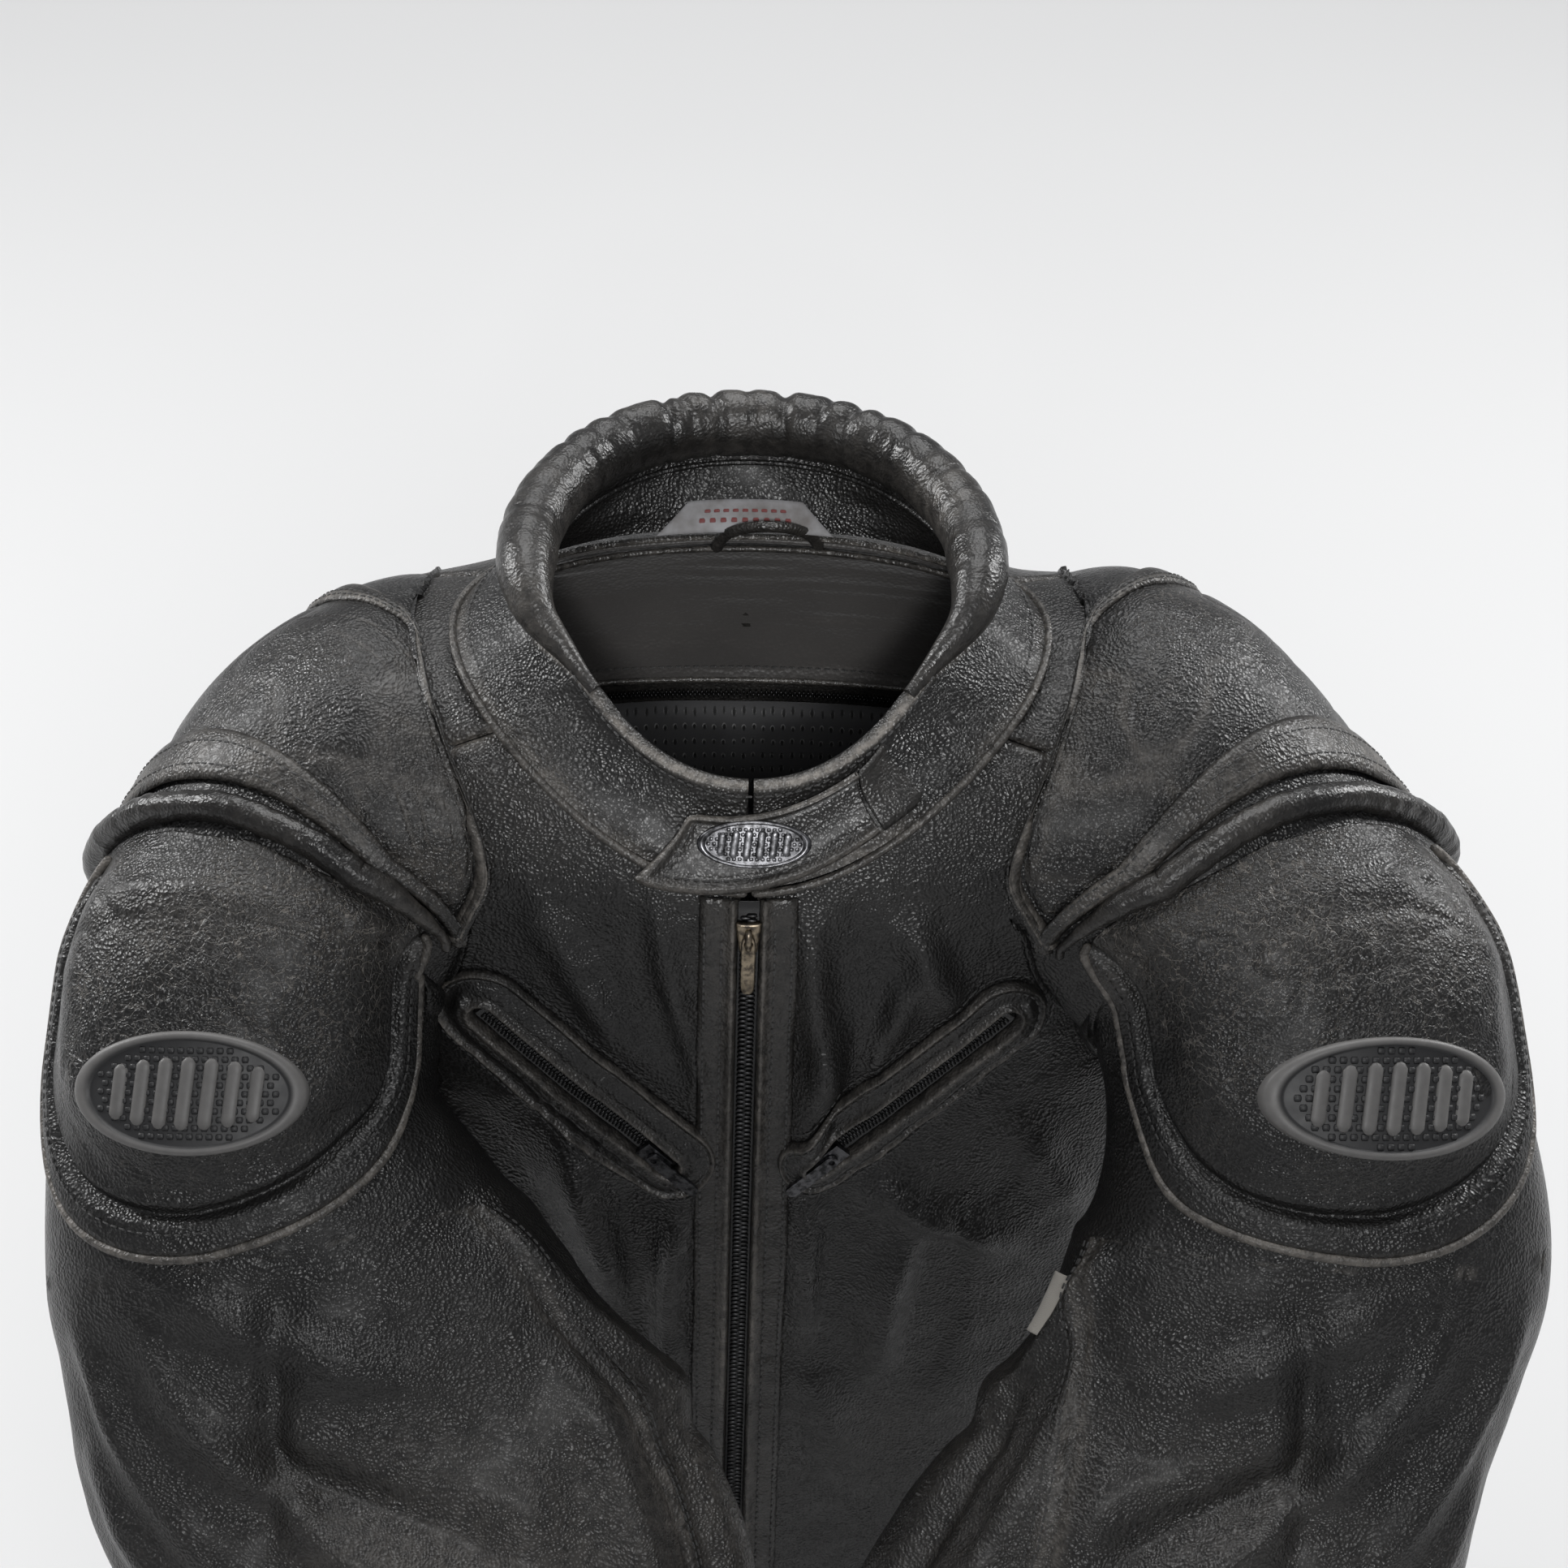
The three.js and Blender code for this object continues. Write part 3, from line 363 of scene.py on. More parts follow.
def sleeve_rows(side):
    rows = np.array(SLEEVE, float)
    rows[:, 0] += SLEEVE_SHIFT[side]
    rows[:, 3] = SLEEVE_OUTER[side]
    rows[:, 4] = SLEEVE_INNER[side]
    return rows


SLEEVE_ROWS = {side: sleeve_rows(side) for _, side in SIDES}


def shoulder_seam(around):
    turns, sections = np.array(SHOULDER_SEAM).T
    return np.interp(np.degrees(around), turns, sections)


def ridge_section(around):
    turn = np.degrees(around)
    return np.maximum(2.12 - 0.0075 * (turn - 62) - 0.012 * np.maximum(turn - 94, 0), 1.35)


def sleeve_point(side, section, around, out):
    section, around, out = np.broadcast_arrays(np.asarray(section, float), around, out)
    rows = SLEEVE_ROWS[side]
    inside = np.maximum(section, 0)
    x, down, lift, outer, inner, half_thickness = row_at(rows, inside)
    ahead = row_at(rows, np.minimum(inside + 1e-3, len(SLEEVE) - 1))
    behind = row_at(rows, np.maximum(inside - 1e-3, 0))
    run = unit(np.stack([ahead[0] - behind[0], ahead[1] - behind[1]], axis=-1))
    half_width = np.where(np.cos(around) > 0, outer, inner)
    across = (half_width + out) * np.cos(around)
    raised = lift + (half_thickness + out) * np.sin(around)
    arm = arm_point(x + run[..., 1] * across, down - run[..., 0] * across, raised)
    settled = smoothstep(inside, 0, SLEEVE_HEAD)[..., None]
    point = body_skin(*armhole_place(around, out)) * (1 - settled) + arm * settled
    point[..., 0] += 60 * np.minimum(section, 0)
    return point * (side, 1, 1)


# Folds on the sleeves: section and turn (degrees) where each begins and ends, half width, and height
SLEEVE_FOLDS = [
    [5.0, 70, 6.2, 112, 8, 3.4],
    [5.2, 96, 6.9, 74, 7, -3.2],
    [5.1, 30, 7.2, 62, 9, 3.4],
    [5.6, 58, 7.6, 100, 6, 2.8],
    [5.4, 150, 6.8, 165, 8, 3.4],
    [6.2, 26, 8.0, 66, 10, 3.4],
    [6.3, 78, 7.6, 120, 7, -3.0],
    [7.0, 120, 8.8, 100, 9, 3.2],
    [6.4, 140, 8.4, 132, 7, 3.0],
    [6.6, 160, 8.4, 150, 8, -2.8],
    [7.6, 20, 9.0, 50, 9, -2.6],
    [8.2, 80, 9.6, 90, 8, 2.4],
]


def sleeve_folds(side, section, around, points):
    below_cup = smoothstep(section, 4.9, 5.5)
    above_cup = 1 - smoothstep(section, 0.4, 0.9)
    under = smoothstep(-np.sin(around), -0.2, 0.5)
    calm = np.clip(below_cup + 0.6 * above_cup + 0.7 * under, 0,
                   1) * (1 - 0.8 * smoothstep(section, 9.3, 9.9))
    soft = 2.6 * noise(points, (46, 60, 46), 21 + side) + 1.7 * noise(points, (26, 34, 26), 23 + side)
    fine = 0.35 * noise(points, 12, 25) - 0.6 * creases(points, (34, 44, 34), 27 + side)
    turn = np.degrees(np.mod(around, 2 * math.pi))
    folds = fold_height(section * 45, turn * 1.4, [
        [row[0] * 45, row[1] * 1.4, row[2] * 45, row[3] * 1.4, row[4], row[5]] for row in SLEEVE_FOLDS])
    elbow = -3.0 * hump(section, 7.1, 0.12) * hump(turn, 185, 35) + 2.6 * hump(section, 6.8,
                                                                               0.16) * hump(turn, 185, 35)
    signed = np.where(turn > 180, turn - 360, turn)
    gathers = 1.3 * noise(np.stack([turn * 1.4, section * 12, 0 * turn], axis=-1), (5, 30, 9), 29 + side)
    return calm * (soft + fine) + 1.8 * folds * below_cup + elbow + gathers * above_cup * hump(signed, -10,
                                                                                               50)


def sleeve_skin(side, section, around, out):
    base = sleeve_point(side, section, around, 0)
    return sleeve_point(side, section, around, sleeve_folds(side, section, around, base) + out)


# ---- shapes ----
class Shape:
    """Points in millimetres, faces with four and three corners, and marks such as wear for each point."""

    def __init__(self, points, quads, triangles=None, marks=None):
        self.points = np.asarray(points, float).reshape(-1, 3)
        self.quads = np.asarray(quads, int).reshape(-1, 4)
        self.triangles = np.zeros((0, 3), int) if triangles is None else np.asarray(triangles,
                                                                                    int).reshape(-1, 3)
        self.marks = dict(marks or {})


def joined(shapes):
    names = {name for shape in shapes for name in shape.marks}
    offsets = np.cumsum([0] + [len(shape.points) for shape in shapes])
    marks = {name: np.concatenate([shape.marks.get(name, np.zeros(len(shape.points))) for shape in shapes])
             for name in names}
    return Shape(
        np.concatenate([shape.points for shape in shapes]),
        np.concatenate([shape.quads + offset for shape, offset in zip(shapes, offsets)]),
        np.concatenate([shape.triangles + offset for shape, offset in zip(shapes, offsets)]),
        marks,
    )


def grid(u, v, place, flip=False, wrap=False, marks=None):
    """Surface over every pair of u and v; place and each mark take the two arrays."""
    columns, rows = np.meshgrid(u, v, indexing="ij")
    flat_u, flat_v = columns.ravel(), rows.ravel()
    index = np.arange(flat_u.size).reshape(columns.shape)
    if wrap:
        index = np.vstack([index, index[:1]])
    corners = [index[:-1, :-1], index[1:, :-1], index[1:, 1:], index[:-1, 1:]]
    quads = np.stack([corner.ravel() for corner in corners], axis=1)
    if flip:
        quads = quads[:, ::-1]
    found = {name: np.broadcast_to(mark(flat_u, flat_v), flat_u.shape)
             for name, mark in (marks or {}).items()}
    return Shape(place(flat_u, flat_v), quads, marks=found)


def point_normals(shape):
    p = shape.points
    total = np.zeros_like(p)
    for faces in (shape.quads, shape.triangles):
        if len(faces) == 0:
            continue
        last = faces[:, 3] if faces.shape[1] == 4 else faces[:, 2]
        across = p[faces[:, 2]] - p[faces[:, 0]]
        along = p[last] - p[faces[:, 1]]
        face_normals = np.cross(across, along)
        for corner in range(faces.shape[1]):
            np.add.at(total, faces[:, corner], face_normals)
    return unit(total)


def thickened(shape, depth):
    """Closes a surface into a sheet: a back face at that depth, and walls round its borders."""
    count = len(shape.points)
    back = shape.points - point_normals(shape) * np.asarray(depth, float).reshape(-1, 1)
    edges = np.concatenate([shape.quads[:, [i, (i + 1) % 4]] for i in range(4)])
    keys = edges[:, 0] * count + edges[:, 1]
    mirrored = edges[:, 1] * count + edges[:, 0]
    border = edges[~np.isin(keys, mirrored)]
    walls = np.stack([border[:, 1], border[:, 0], border[:, 0] + count, border[:, 1] + count], axis=1)
    quads = np.concatenate([shape.quads, shape.quads[:, ::-1] + count, walls])
    marks = {name: np.concatenate([mark, mark]) for name, mark in shape.marks.items()}
    return Shape(np.concatenate([shape.points, back]), quads, marks=marks)


def frames_along(path, normals, closed):
    if closed:
        run = np.roll(path, -1, axis=0) - np.roll(path, 1, axis=0)
    else:
        run = np.gradient(path, axis=0)
    run = unit(run)
    if normals is None:
        normals = np.broadcast_to(np.array([0.13, -0.64, 0.76]), path.shape)
    across = unit(np.cross(run, normals))
    return run, across, np.cross(across, run)


def tube(path, radius, sides=8, normals=None, closed=False, flatness=1.0, marks=None):
    """Round bar along a path, with domed ends; flatness below 1 presses it down along the normals."""
    path = np.asarray(path, float)
    count = len(path)
    run, across, upward = frames_along(path, normals, closed)
    radius = np.broadcast_to(np.asarray(radius, float), (count,)).copy()
    centres = path
    if not closed:
        centres = np.concatenate([path[:1] - run[:1] * radius[0] * 0.6, path,
                                  path[-1:] + run[-1:] * radius[-1] * 0.6])
        across = np.concatenate([across[:1], across, across[-1:]])
        upward = np.concatenate([upward[:1], upward, upward[-1:]])
        radius = np.concatenate([radius[:1] * 0.55, radius, radius[-1:] * 0.55])
        count += 2
    turns = np.arange(sides) * 2 * math.pi / sides
    ring = (across[:, None] * np.cos(turns)[None, :, None] + upward[:, None] * np.sin(turns)[None, :, None]
            * flatness)
    points = (centres[:, None] + ring * radius[:, None, None]).reshape(-1, 3)
    index = np.arange(count * sides).reshape(count, sides)
    rows = np.vstack([index, index[:1]]) if closed else index
    here, there = rows[:-1], rows[1:]
    quads = np.stack([here, np.roll(here, -1, axis=1), np.roll(there, -1, axis=1), there],
                     axis=-1).reshape(-1, 4)
    triangles = []
    if not closed:
        middles = np.stack([centres[0] - run[0] * radius[0] * 0.4, centres[-1] + run[-1] * radius[-1] * 0.4])
        first, last = len(points), len(points) + 1
        points = np.concatenate([points, middles])
        triangles = [[first, index[0, (k + 1) % sides], index[0, k]] for k in range(sides)]
        triangles += [[last, index[-1, k], index[-1, (k + 1) % sides]] for k in range(sides)]
    made = Shape(points, quads, triangles)
    made.marks = {name: np.full(len(points), value, float) for name, value in (marks or {}).items()}
    return made


def capsules(centres, runs, ups, length, width, height, sides=6):
    """Many short rounded bars, such as stitches and zip teeth."""
    runs = unit(runs)
    across = unit(np.cross(ups, runs))
    upward = np.cross(runs, across)
    stations = np.array([-0.5, -0.36, 0.36, 0.5])
    sizes = np.array([0.45, 1.0, 1.0, 0.45])
    turns = np.arange(sides) * 2 * math.pi / sides
    points = (
        centres[:, None, None]
        + runs[:, None, None] * (stations * length)[None, :, None, None]
        + across[:, None, None] * (sizes[:, None] * np.cos(turns) * width / 2)[None, :, :, None]
        + upward[:, None, None] * (sizes[:, None] * np.sin(turns) * height / 2)[None, :, :, None]
    )
    count = len(centres)
    index = np.arange(count * 4 * sides).reshape(count, 4, sides)
    here, there = index[:, :-1], index[:, 1:]
    quads = np.stack([here, np.roll(here, -1, axis=2), np.roll(there, -1, axis=2), there],
                     axis=-1).reshape(-1, 4)
    halves = [[0, 1, 2, 3], [0, 3, 4, 5]]
    caps = [index[:, 0][:, half[::-1]] for half in halves] + [index[:, 3][:, half] for half in halves]
    return Shape(points.reshape(-1, 3), np.concatenate([quads, *caps]))


def stitches(path, normals, pitch=3.4, length=2.3, thread=0.75):
    path = np.asarray(path, float)
    both = np.concatenate([path, np.broadcast_to(normals, path.shape)], axis=1)
    steps = np.concatenate([[0], np.cumsum(np.linalg.norm(np.diff(path, axis=0), axis=1))])
    places = np.arange(pitch / 2, steps[-1], pitch)
    spread = np.stack([np.interp(places, steps, both[:, k]) for k in range(6)], axis=1)
    ahead = np.stack([np.interp(places + 0.5, steps, both[:, k]) for k in range(3)], axis=1)
    behind = np.stack([np.interp(places - 0.5, steps, both[:, k]) for k in range(3)], axis=1)
    return capsules(spread[:, :3], ahead - behind, unit(spread[:, 3:]), length, thread, thread)


def surface_path(place, u, v, lift=0.0):
    """Points on a surface along u and v, with its normals there; place takes u, v and out."""
    u, v = np.broadcast_arrays(np.asarray(u, float), v)
    low = place(u, v, np.full(u.shape, lift))
    high = place(u, v, np.full(u.shape, lift + 1.0))
    return low, unit(high - low)


THREAD = {}


def sew(body, place, u, v, lift=0.25, **sizes):
    """Adds a row of stitches on a surface to that body's thread."""
    THREAD.setdefault(body, []).append(stitches(*surface_path(place, u, v, lift), **sizes))


# ---- materials ----
class Finish:
    """A material under construction: its node tree, its shader, and short ways to add nodes."""

    def __init__(self, name, colour, roughness, metallic=0.0):
        self.material = bpy.data.materials.new(name)
        self.material.use_nodes = True
        self.tree = self.material.node_tree
        self.shader = next(n for n in self.tree.nodes if n.type == "BSDF_PRINCIPLED")
        self.put(self.shader, "Base Color", (*colour, 1.0))
        self.put(self.shader, "Roughness", roughness)
        self.put(self.shader, "Metallic", metallic)
        self.place = self.node("ShaderNodeTexCoord").outputs["Object"]

    def put(self, node, socket, value):
        target = node.inputs[socket]
        if isinstance(value, bpy.types.NodeSocket):
            self.tree.links.new(value, target)
        else:
            target.default_value = value

    def node(self, kind, settings=None, **sockets):
        made = self.tree.nodes.new(kind)
        for name, value in (settings or {}).items():
            setattr(made, name, value)
        for name, value in sockets.items():
            self.put(made, name.replace("_", " "), value)
        return made

    def maths(self, operation, *values):
        made = self.node("ShaderNodeMath", {"operation": operation})
        for number, value in enumerate(values):
            self.put(made, number, value)
        return made.outputs[0]

    def mark(self, name):
        return self.node("ShaderNodeAttribute", {"attribute_name": name}).outputs["Fac"]

    def noise(self, scale, detail=3.0, roughness=0.55, distortion=0.0, place=None):
        made = self.node("ShaderNodeTexNoise", Vector=place or self.place, Scale=scale, Detail=detail,
                         Roughness=roughness, Distortion=distortion)
        return made.outputs["Fac"]

    def cells(self, scale, feature="F1", place=None):
        made = self.node("ShaderNodeTexVoronoi", {"feature": feature}, Vector=place or self.place,
                         Scale=scale)
        return made.outputs["Distance"]

    def ramp(self, value, low, high, from_low=0.0, from_high=1.0):
        made = self.node("ShaderNodeMapRange", Value=value)
        for name, number in (("From Min", from_low), ("From Max", from_high), ("To Min", low),
                             ("To Max", high)):
            self.put(made, name, number)
        return made.outputs["Result"]

    def blend(self, share, first, second):
        made = self.node("ShaderNodeMix", {"data_type": "RGBA"})
        self.put(made, 0, share)
        for number, value in ((6, first), (7, second)):
            self.put(made, number, value if isinstance(value, bpy.types.NodeSocket) else (*value, 1.0))
        return made.outputs[2]

    def warped(self, scale, amount):
        """The place, shifted about by noise, so that patterns don't run in straight lines."""
        shift = self.node("ShaderNodeTexNoise", Vector=self.place, Scale=scale, Detail=2.0)
        scaled = self.node("ShaderNodeVectorMath", {"operation": "SCALE"})
        self.put(scaled, 0, shift.outputs["Color"])
        self.put(scaled, "Scale", amount)
        moved = self.node("ShaderNodeVectorMath", {"operation": "ADD"})
        self.put(moved, 0, self.place)
        self.put(moved, 1, scaled.outputs[0])
        return moved.outputs[0]

    def bump(self, layers):
        """Stacks bumps: each layer is a height, its depth in metres and its strength."""
        normal = None
        for height, depth, strength in layers:
            made = self.node("ShaderNodeBump", Height=height, Distance=depth, Strength=strength)
            if normal is not None:
                self.put(made, "Normal", normal)
            normal = made.outputs["Normal"]
        self.put(self.shader, "Normal", normal)


LEATHER_DARK = (0.0075, 0.0072, 0.0070)
LEATHER_DUSTY = (0.021, 0.0198, 0.0186)
LEATHER_WORN = (0.15, 0.137, 0.122)


def leather_finish(name, grain=1.0, roughness=0.33, crackle=0.0):
    """Black cowhide: pebbled grain, fine wrinkles, pale cracks where it flexes and grey-brown worn edges."""
    finish = Finish(name, LEATHER_DARK, roughness)
    drifting = finish.warped(70, 0.006)
    pebble = finish.cells(800, place=drifting)
    pores = finish.noise(1500, 2.0)
    wrinkle = finish.noise(150, 5.0, 0.6, 0.8, place=drifting)
    ridged = finish.maths("ABSOLUTE", finish.maths("SUBTRACT", wrinkle, 0.5))
    swell = finish.noise(38, 3.0)
    patches = finish.noise(17, 4.0, 0.65)
    wear = finish.mark("wear")
    rubbed = finish.maths("MULTIPLY", wear, finish.ramp(finish.noise(260, 4.0), 0.35, 1.3, 0.35, 0.65))
    cracks = finish.ramp(finish.cells(230, "DISTANCE_TO_EDGE", finish.warped(200, 0.007)), 1.0, 0.0, 0.0,
                         0.06)
    crack_zone = finish.maths("MULTIPLY", finish.mark("crackle"), finish.ramp(patches, 0.0, 1.0, 0.42, 0.62))
    crazed = finish.maths("MULTIPLY", cracks, finish.maths("MULTIPLY", crack_zone, crackle + 0.35))
    dusty = finish.ramp(patches, 0.0, 0.55, 0.4, 0.75)
    colour = finish.blend(dusty, LEATHER_DARK, LEATHER_DUSTY)
    worn = finish.maths("MINIMUM", finish.maths("ADD", rubbed, finish.maths("MULTIPLY", crazed, 0.6)), 1.0)
    finish.put(finish.shader, "Base Color", finish.blend(worn, colour, LEATHER_WORN))
    rough = finish.ramp(finish.noise(55, 4.0), roughness - 0.07, roughness + 0.09, 0.3, 0.7)
    finish.put(finish.shader, "Roughness", finish.maths("ADD", rough, finish.maths("MULTIPLY", worn, 0.15)))
    finish.shader.inputs["Specular IOR Level"].default_value = 0.5
    finish.shader.inputs["Coat Weight"].default_value = 0.08
    finish.shader.inputs["Coat Roughness"].default_value = 0.28
    finish.bump([
        (finish.noise(16, 2.0, 0.5, 0.6), 0.006, 0.5),
        (swell, 0.0032, 0.5),
        (ridged, 0.0016, 0.28),
        (pebble, 0.0006, 0.8 * grain),
        (pores, 0.00012, 0.45),
        (finish.maths("MULTIPLY", crazed, -1.0), 0.0005, 0.8),
    ])
    return finish.material


def facing_finish():
    """Softer, greyer leather of the facing inside the back of the neck."""
    finish = Finish("cowhide_facing", (0.045, 0.042, 0.040), 0.5)
    patches = finish.noise(24, 3.0)
    finish.put(finish.shader, "Base Color",
               finish.blend(patches, (0.030, 0.028, 0.027), (0.062, 0.058, 0.055)))
    finish.shader.inputs["Sheen Weight"].default_value = 0.3
    finish.bump([(finish.noise(34, 3.0), 0.003, 0.5), (finish.cells(620), 0.0005, 0.5),
                 (finish.noise(1500), 0.0001, 0.4)])
    return finish.material


def rubber_finish():
    finish = Finish("badge_rubber", (0.035, 0.035, 0.036), 0.5)
    worn = finish.maths("MULTIPLY", finish.mark("wear"), finish.ramp(finish.noise(300, 3.0), 0.6, 1.0))
    finish.put(finish.shader, "Base Color", finish.blend(worn, (0.022, 0.022, 0.023), (0.16, 0.155, 0.15)))
    finish.put(finish.shader, "Roughness", finish.ramp(finish.noise(180, 3.0), 0.38, 0.6))
    finish.bump([(finish.noise(900, 3.0), 0.0001, 0.35), (finish.noise(120, 2.0), 0.0003, 0.3)])
    return finish.material


def metal_finish(name, colour, dull, roughness):
    finish = Finish(name, colour, roughness, 1.0)
    grime = finish.ramp(finish.noise(420, 4.0), 0.0, 1.0, 0.42, 0.62)
    finish.put(finish.shader, "Base Color", finish.blend(grime, colour, dull))
    finish.put(finish.shader, "Roughness",
               finish.ramp(finish.noise(600, 3.0), roughness - 0.08, roughness + 0.14))
    finish.bump([(finish.noise(1100, 3.0), 0.00006, 0.4), (finish.noise(240, 2.0), 0.0002, 0.25)])
    return finish.material


def fabric_finish(name, colour, pale, thread_size, roughness=0.85, depth=0.0003):
    """Woven cloth: two sets of threads that cross, each wavering a little."""
    finish = Finish(name, colour, roughness)
    place = finish.warped(160, 0.0008)
    bands = []
    for axis in ("X", "Z"):
        wave = finish.node("ShaderNodeTexWave", {"bands_direction": axis}, Vector=place,
                           Scale=1 / thread_size,
                           Distortion=0.6)
        bands.append(wave.outputs["Fac"])
    weave = finish.maths("MULTIPLY", *bands)
    finish.put(finish.shader, "Base Color", finish.blend(weave, colour, pale))
    finish.shader.inputs["Sheen Weight"].default_value = 0.25
    finish.shader.inputs["Sheen Roughness"].default_value = 0.5
    finish.bump([(weave, depth, 0.7), (finish.noise(700, 2.0), 0.0002, 0.3)])
    return finish.material


def mesh_lining_finish():
    """Spacer mesh with staggered rows of small holes; the holes are not cut but painted near-black, a
    painted shade for the dark space seen through them.
    """
    finish = Finish("mesh_lining", (0.012, 0.012, 0.013), 0.8)
    stretched = finish.node("ShaderNodeVectorMath", {"operation": "MULTIPLY"})
    finish.put(stretched, 0, finish.place)
    finish.put(stretched, 1, (260.0, 0.0, 150.0))
    made = finish.node("ShaderNodeTexVoronoi", {"feature": "F1"}, Vector=stretched.outputs[0], Scale=1.0,
                       Randomness=0.15)
    hole = finish.ramp(made.outputs["Distance"], 1.0, 0.0, 0.16, 0.26)
    # painted shade: each hole gets a near-black colour in place of the shadowed space behind the mesh
    finish.put(finish.shader, "Base Color", finish.blend(hole, (0.045, 0.045, 0.047), (0.002, 0.002, 0.002)))
    finish.shader.inputs["Sheen Weight"].default_value = 0.3
    finish.bump([(finish.maths("MULTIPLY", hole, -1.0), 0.0012, 1.0), (finish.noise(900, 2.0), 0.0003, 0.5)])
    return finish.material


def foam_finish():
    finish = Finish("protector_foam", (0.045, 0.045, 0.048), 0.85)
    finish.put(finish.shader, "Base Color",
               finish.blend(finish.noise(300), (0.03, 0.03, 0.032), (0.07, 0.07, 0.074)))
    finish.bump([(finish.cells(500), 0.0004, 0.6)])
    return finish.material


def label_finish():
    finish = Finish("woven_label", (0.24, 0.24, 0.25), 0.7)
    rows = finish.node("ShaderNodeTexWave", {"bands_direction": "X"}, Vector=finish.place, Scale=900.0)
    soiled = finish.ramp(finish.noise(90, 4.0), 0.0, 1.0, 0.35, 0.65)
    finish.put(finish.shader, "Base Color", finish.blend(soiled, (0.30, 0.30, 0.31), (0.16, 0.15, 0.145)))
    finish.bump([(rows.outputs["Fac"], 0.0002, 0.5), (finish.noise(400), 0.0002, 0.4)])
    return finish.material


MATERIALS = {
    "leather": leather_finish("cowhide"),
    "padded_leather": leather_finish("cowhide_padded", grain=0.9, roughness=0.35, crackle=1.0),
    "trim_leather": leather_finish("cowhide_trim", grain=0.75, roughness=0.34),
    "roll_leather": leather_finish("cowhide_roll", grain=0.45, roughness=0.31),
    "thread": fabric_finish("bonded_thread", (0.012, 0.012, 0.012), (0.05, 0.048, 0.045), 0.0004, 0.5),
    "facing_leather": facing_finish(),
    "rubber": rubber_finish(),
    "brass": metal_finish("antique_brass", (0.36, 0.30, 0.22), (0.10, 0.085, 0.07), 0.36),
    "dark_metal": metal_finish("blackened_metal", (0.20, 0.20, 0.21), (0.05, 0.05, 0.052), 0.34),
    "zip_teeth": metal_finish("zip_teeth", (0.07, 0.07, 0.072), (0.03, 0.03, 0.03), 0.4),
    "zip_tape": fabric_finish("zip_tape", (0.008, 0.008, 0.009), (0.02, 0.02, 0.021), 0.0007),
    "mesh": mesh_lining_finish(),
    "cloth": fabric_finish("lining_cloth", (0.010, 0.010, 0.011), (0.026, 0.026, 0.028), 0.0006),
    "tag": fabric_finish("sleeve_tag", (0.30, 0.28, 0.25), (0.50, 0.47, 0.42), 0.0007),
    "foam": foam_finish(),
    "label": label_finish(),
    "red_thread": fabric_finish("label_thread", (0.20, 0.03, 0.03), (0.36, 0.07, 0.06), 0.0005),
}


# ---- making pieces ----
def worn_rise(points):
    """How far the worn jacket's shoulders stand above the CAD model's."""
    x, y, z = points[..., 0], points[..., 1], points[..., 2]
    most = np.where(x > 0, SHOULDER_RISE[1], SHOULDER_RISE[-1])
    outward = smoothstep(np.abs(x), 92, 145) * (1 - smoothstep(np.abs(x), 160, 245))
    return most * outward * smoothstep(y, -95, 20) * smoothstep(z, 400, 505)


def make(name, shape, finish, body="jacket_body", replaces=()):
    shape.points[:, 2] += worn_rise(shape.points)
    points = shape.points * MILLIMETRE + (0, FORWARD_REACH * MILLIMETRE, 0)
    mesh = bpy.data.meshes.new(name)
    corners = np.concatenate([shape.quads.ravel(), shape.triangles.ravel()])
    totals = np.concatenate([np.full(len(shape.quads), 4), np.full(len(shape.triangles), 3)])
    mesh.vertices.add(len(points))
    mesh.vertices.foreach_set("co", points.ravel())
    mesh.loops.add(len(corners))
    mesh.loops.foreach_set("vertex_index", corners.astype(np.int32))
    mesh.polygons.add(len(totals))
    mesh.polygons.foreach_set("loop_start", np.concatenate([[0], np.cumsum(totals)[:-1]]).astype(np.int32))
    mesh.polygons.foreach_set("use_smooth", np.ones(len(totals), bool))
    for mark, values in shape.marks.items():
        attribute = mesh.attributes.new(mark, "FLOAT", "POINT")
        attribute.data.foreach_set("value", np.clip(values, 0, 1).astype(np.float32))
    mesh.update(calc_edges=True)
    mesh.validate()
    mesh.materials.append(MATERIALS[finish])
    piece = bpy.data.objects.new(name, mesh)
    bpy.context.scene.collection.objects.link(piece)
    if body:
        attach(piece, body)
    if replaces:
        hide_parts(*replaces)
    return piece


def edge_wear(points, distance, reach=2.2):
    """Rubbed pale within a few millimetres of an edge, in patches."""
    return np.exp(-np.maximum(distance, 0) / reach) * (0.45 + 0.4
                                                       * noise(points, 26, 41)) + 0.12 * np.maximum(
        noise(points, 60, 43), 0)


def sunk_edge(distance, reach=3.2, depth=1.7):
    """Leather that turns down into a seam."""
    return -depth * np.exp(-((np.maximum(distance, 0) / reach) ** 2))


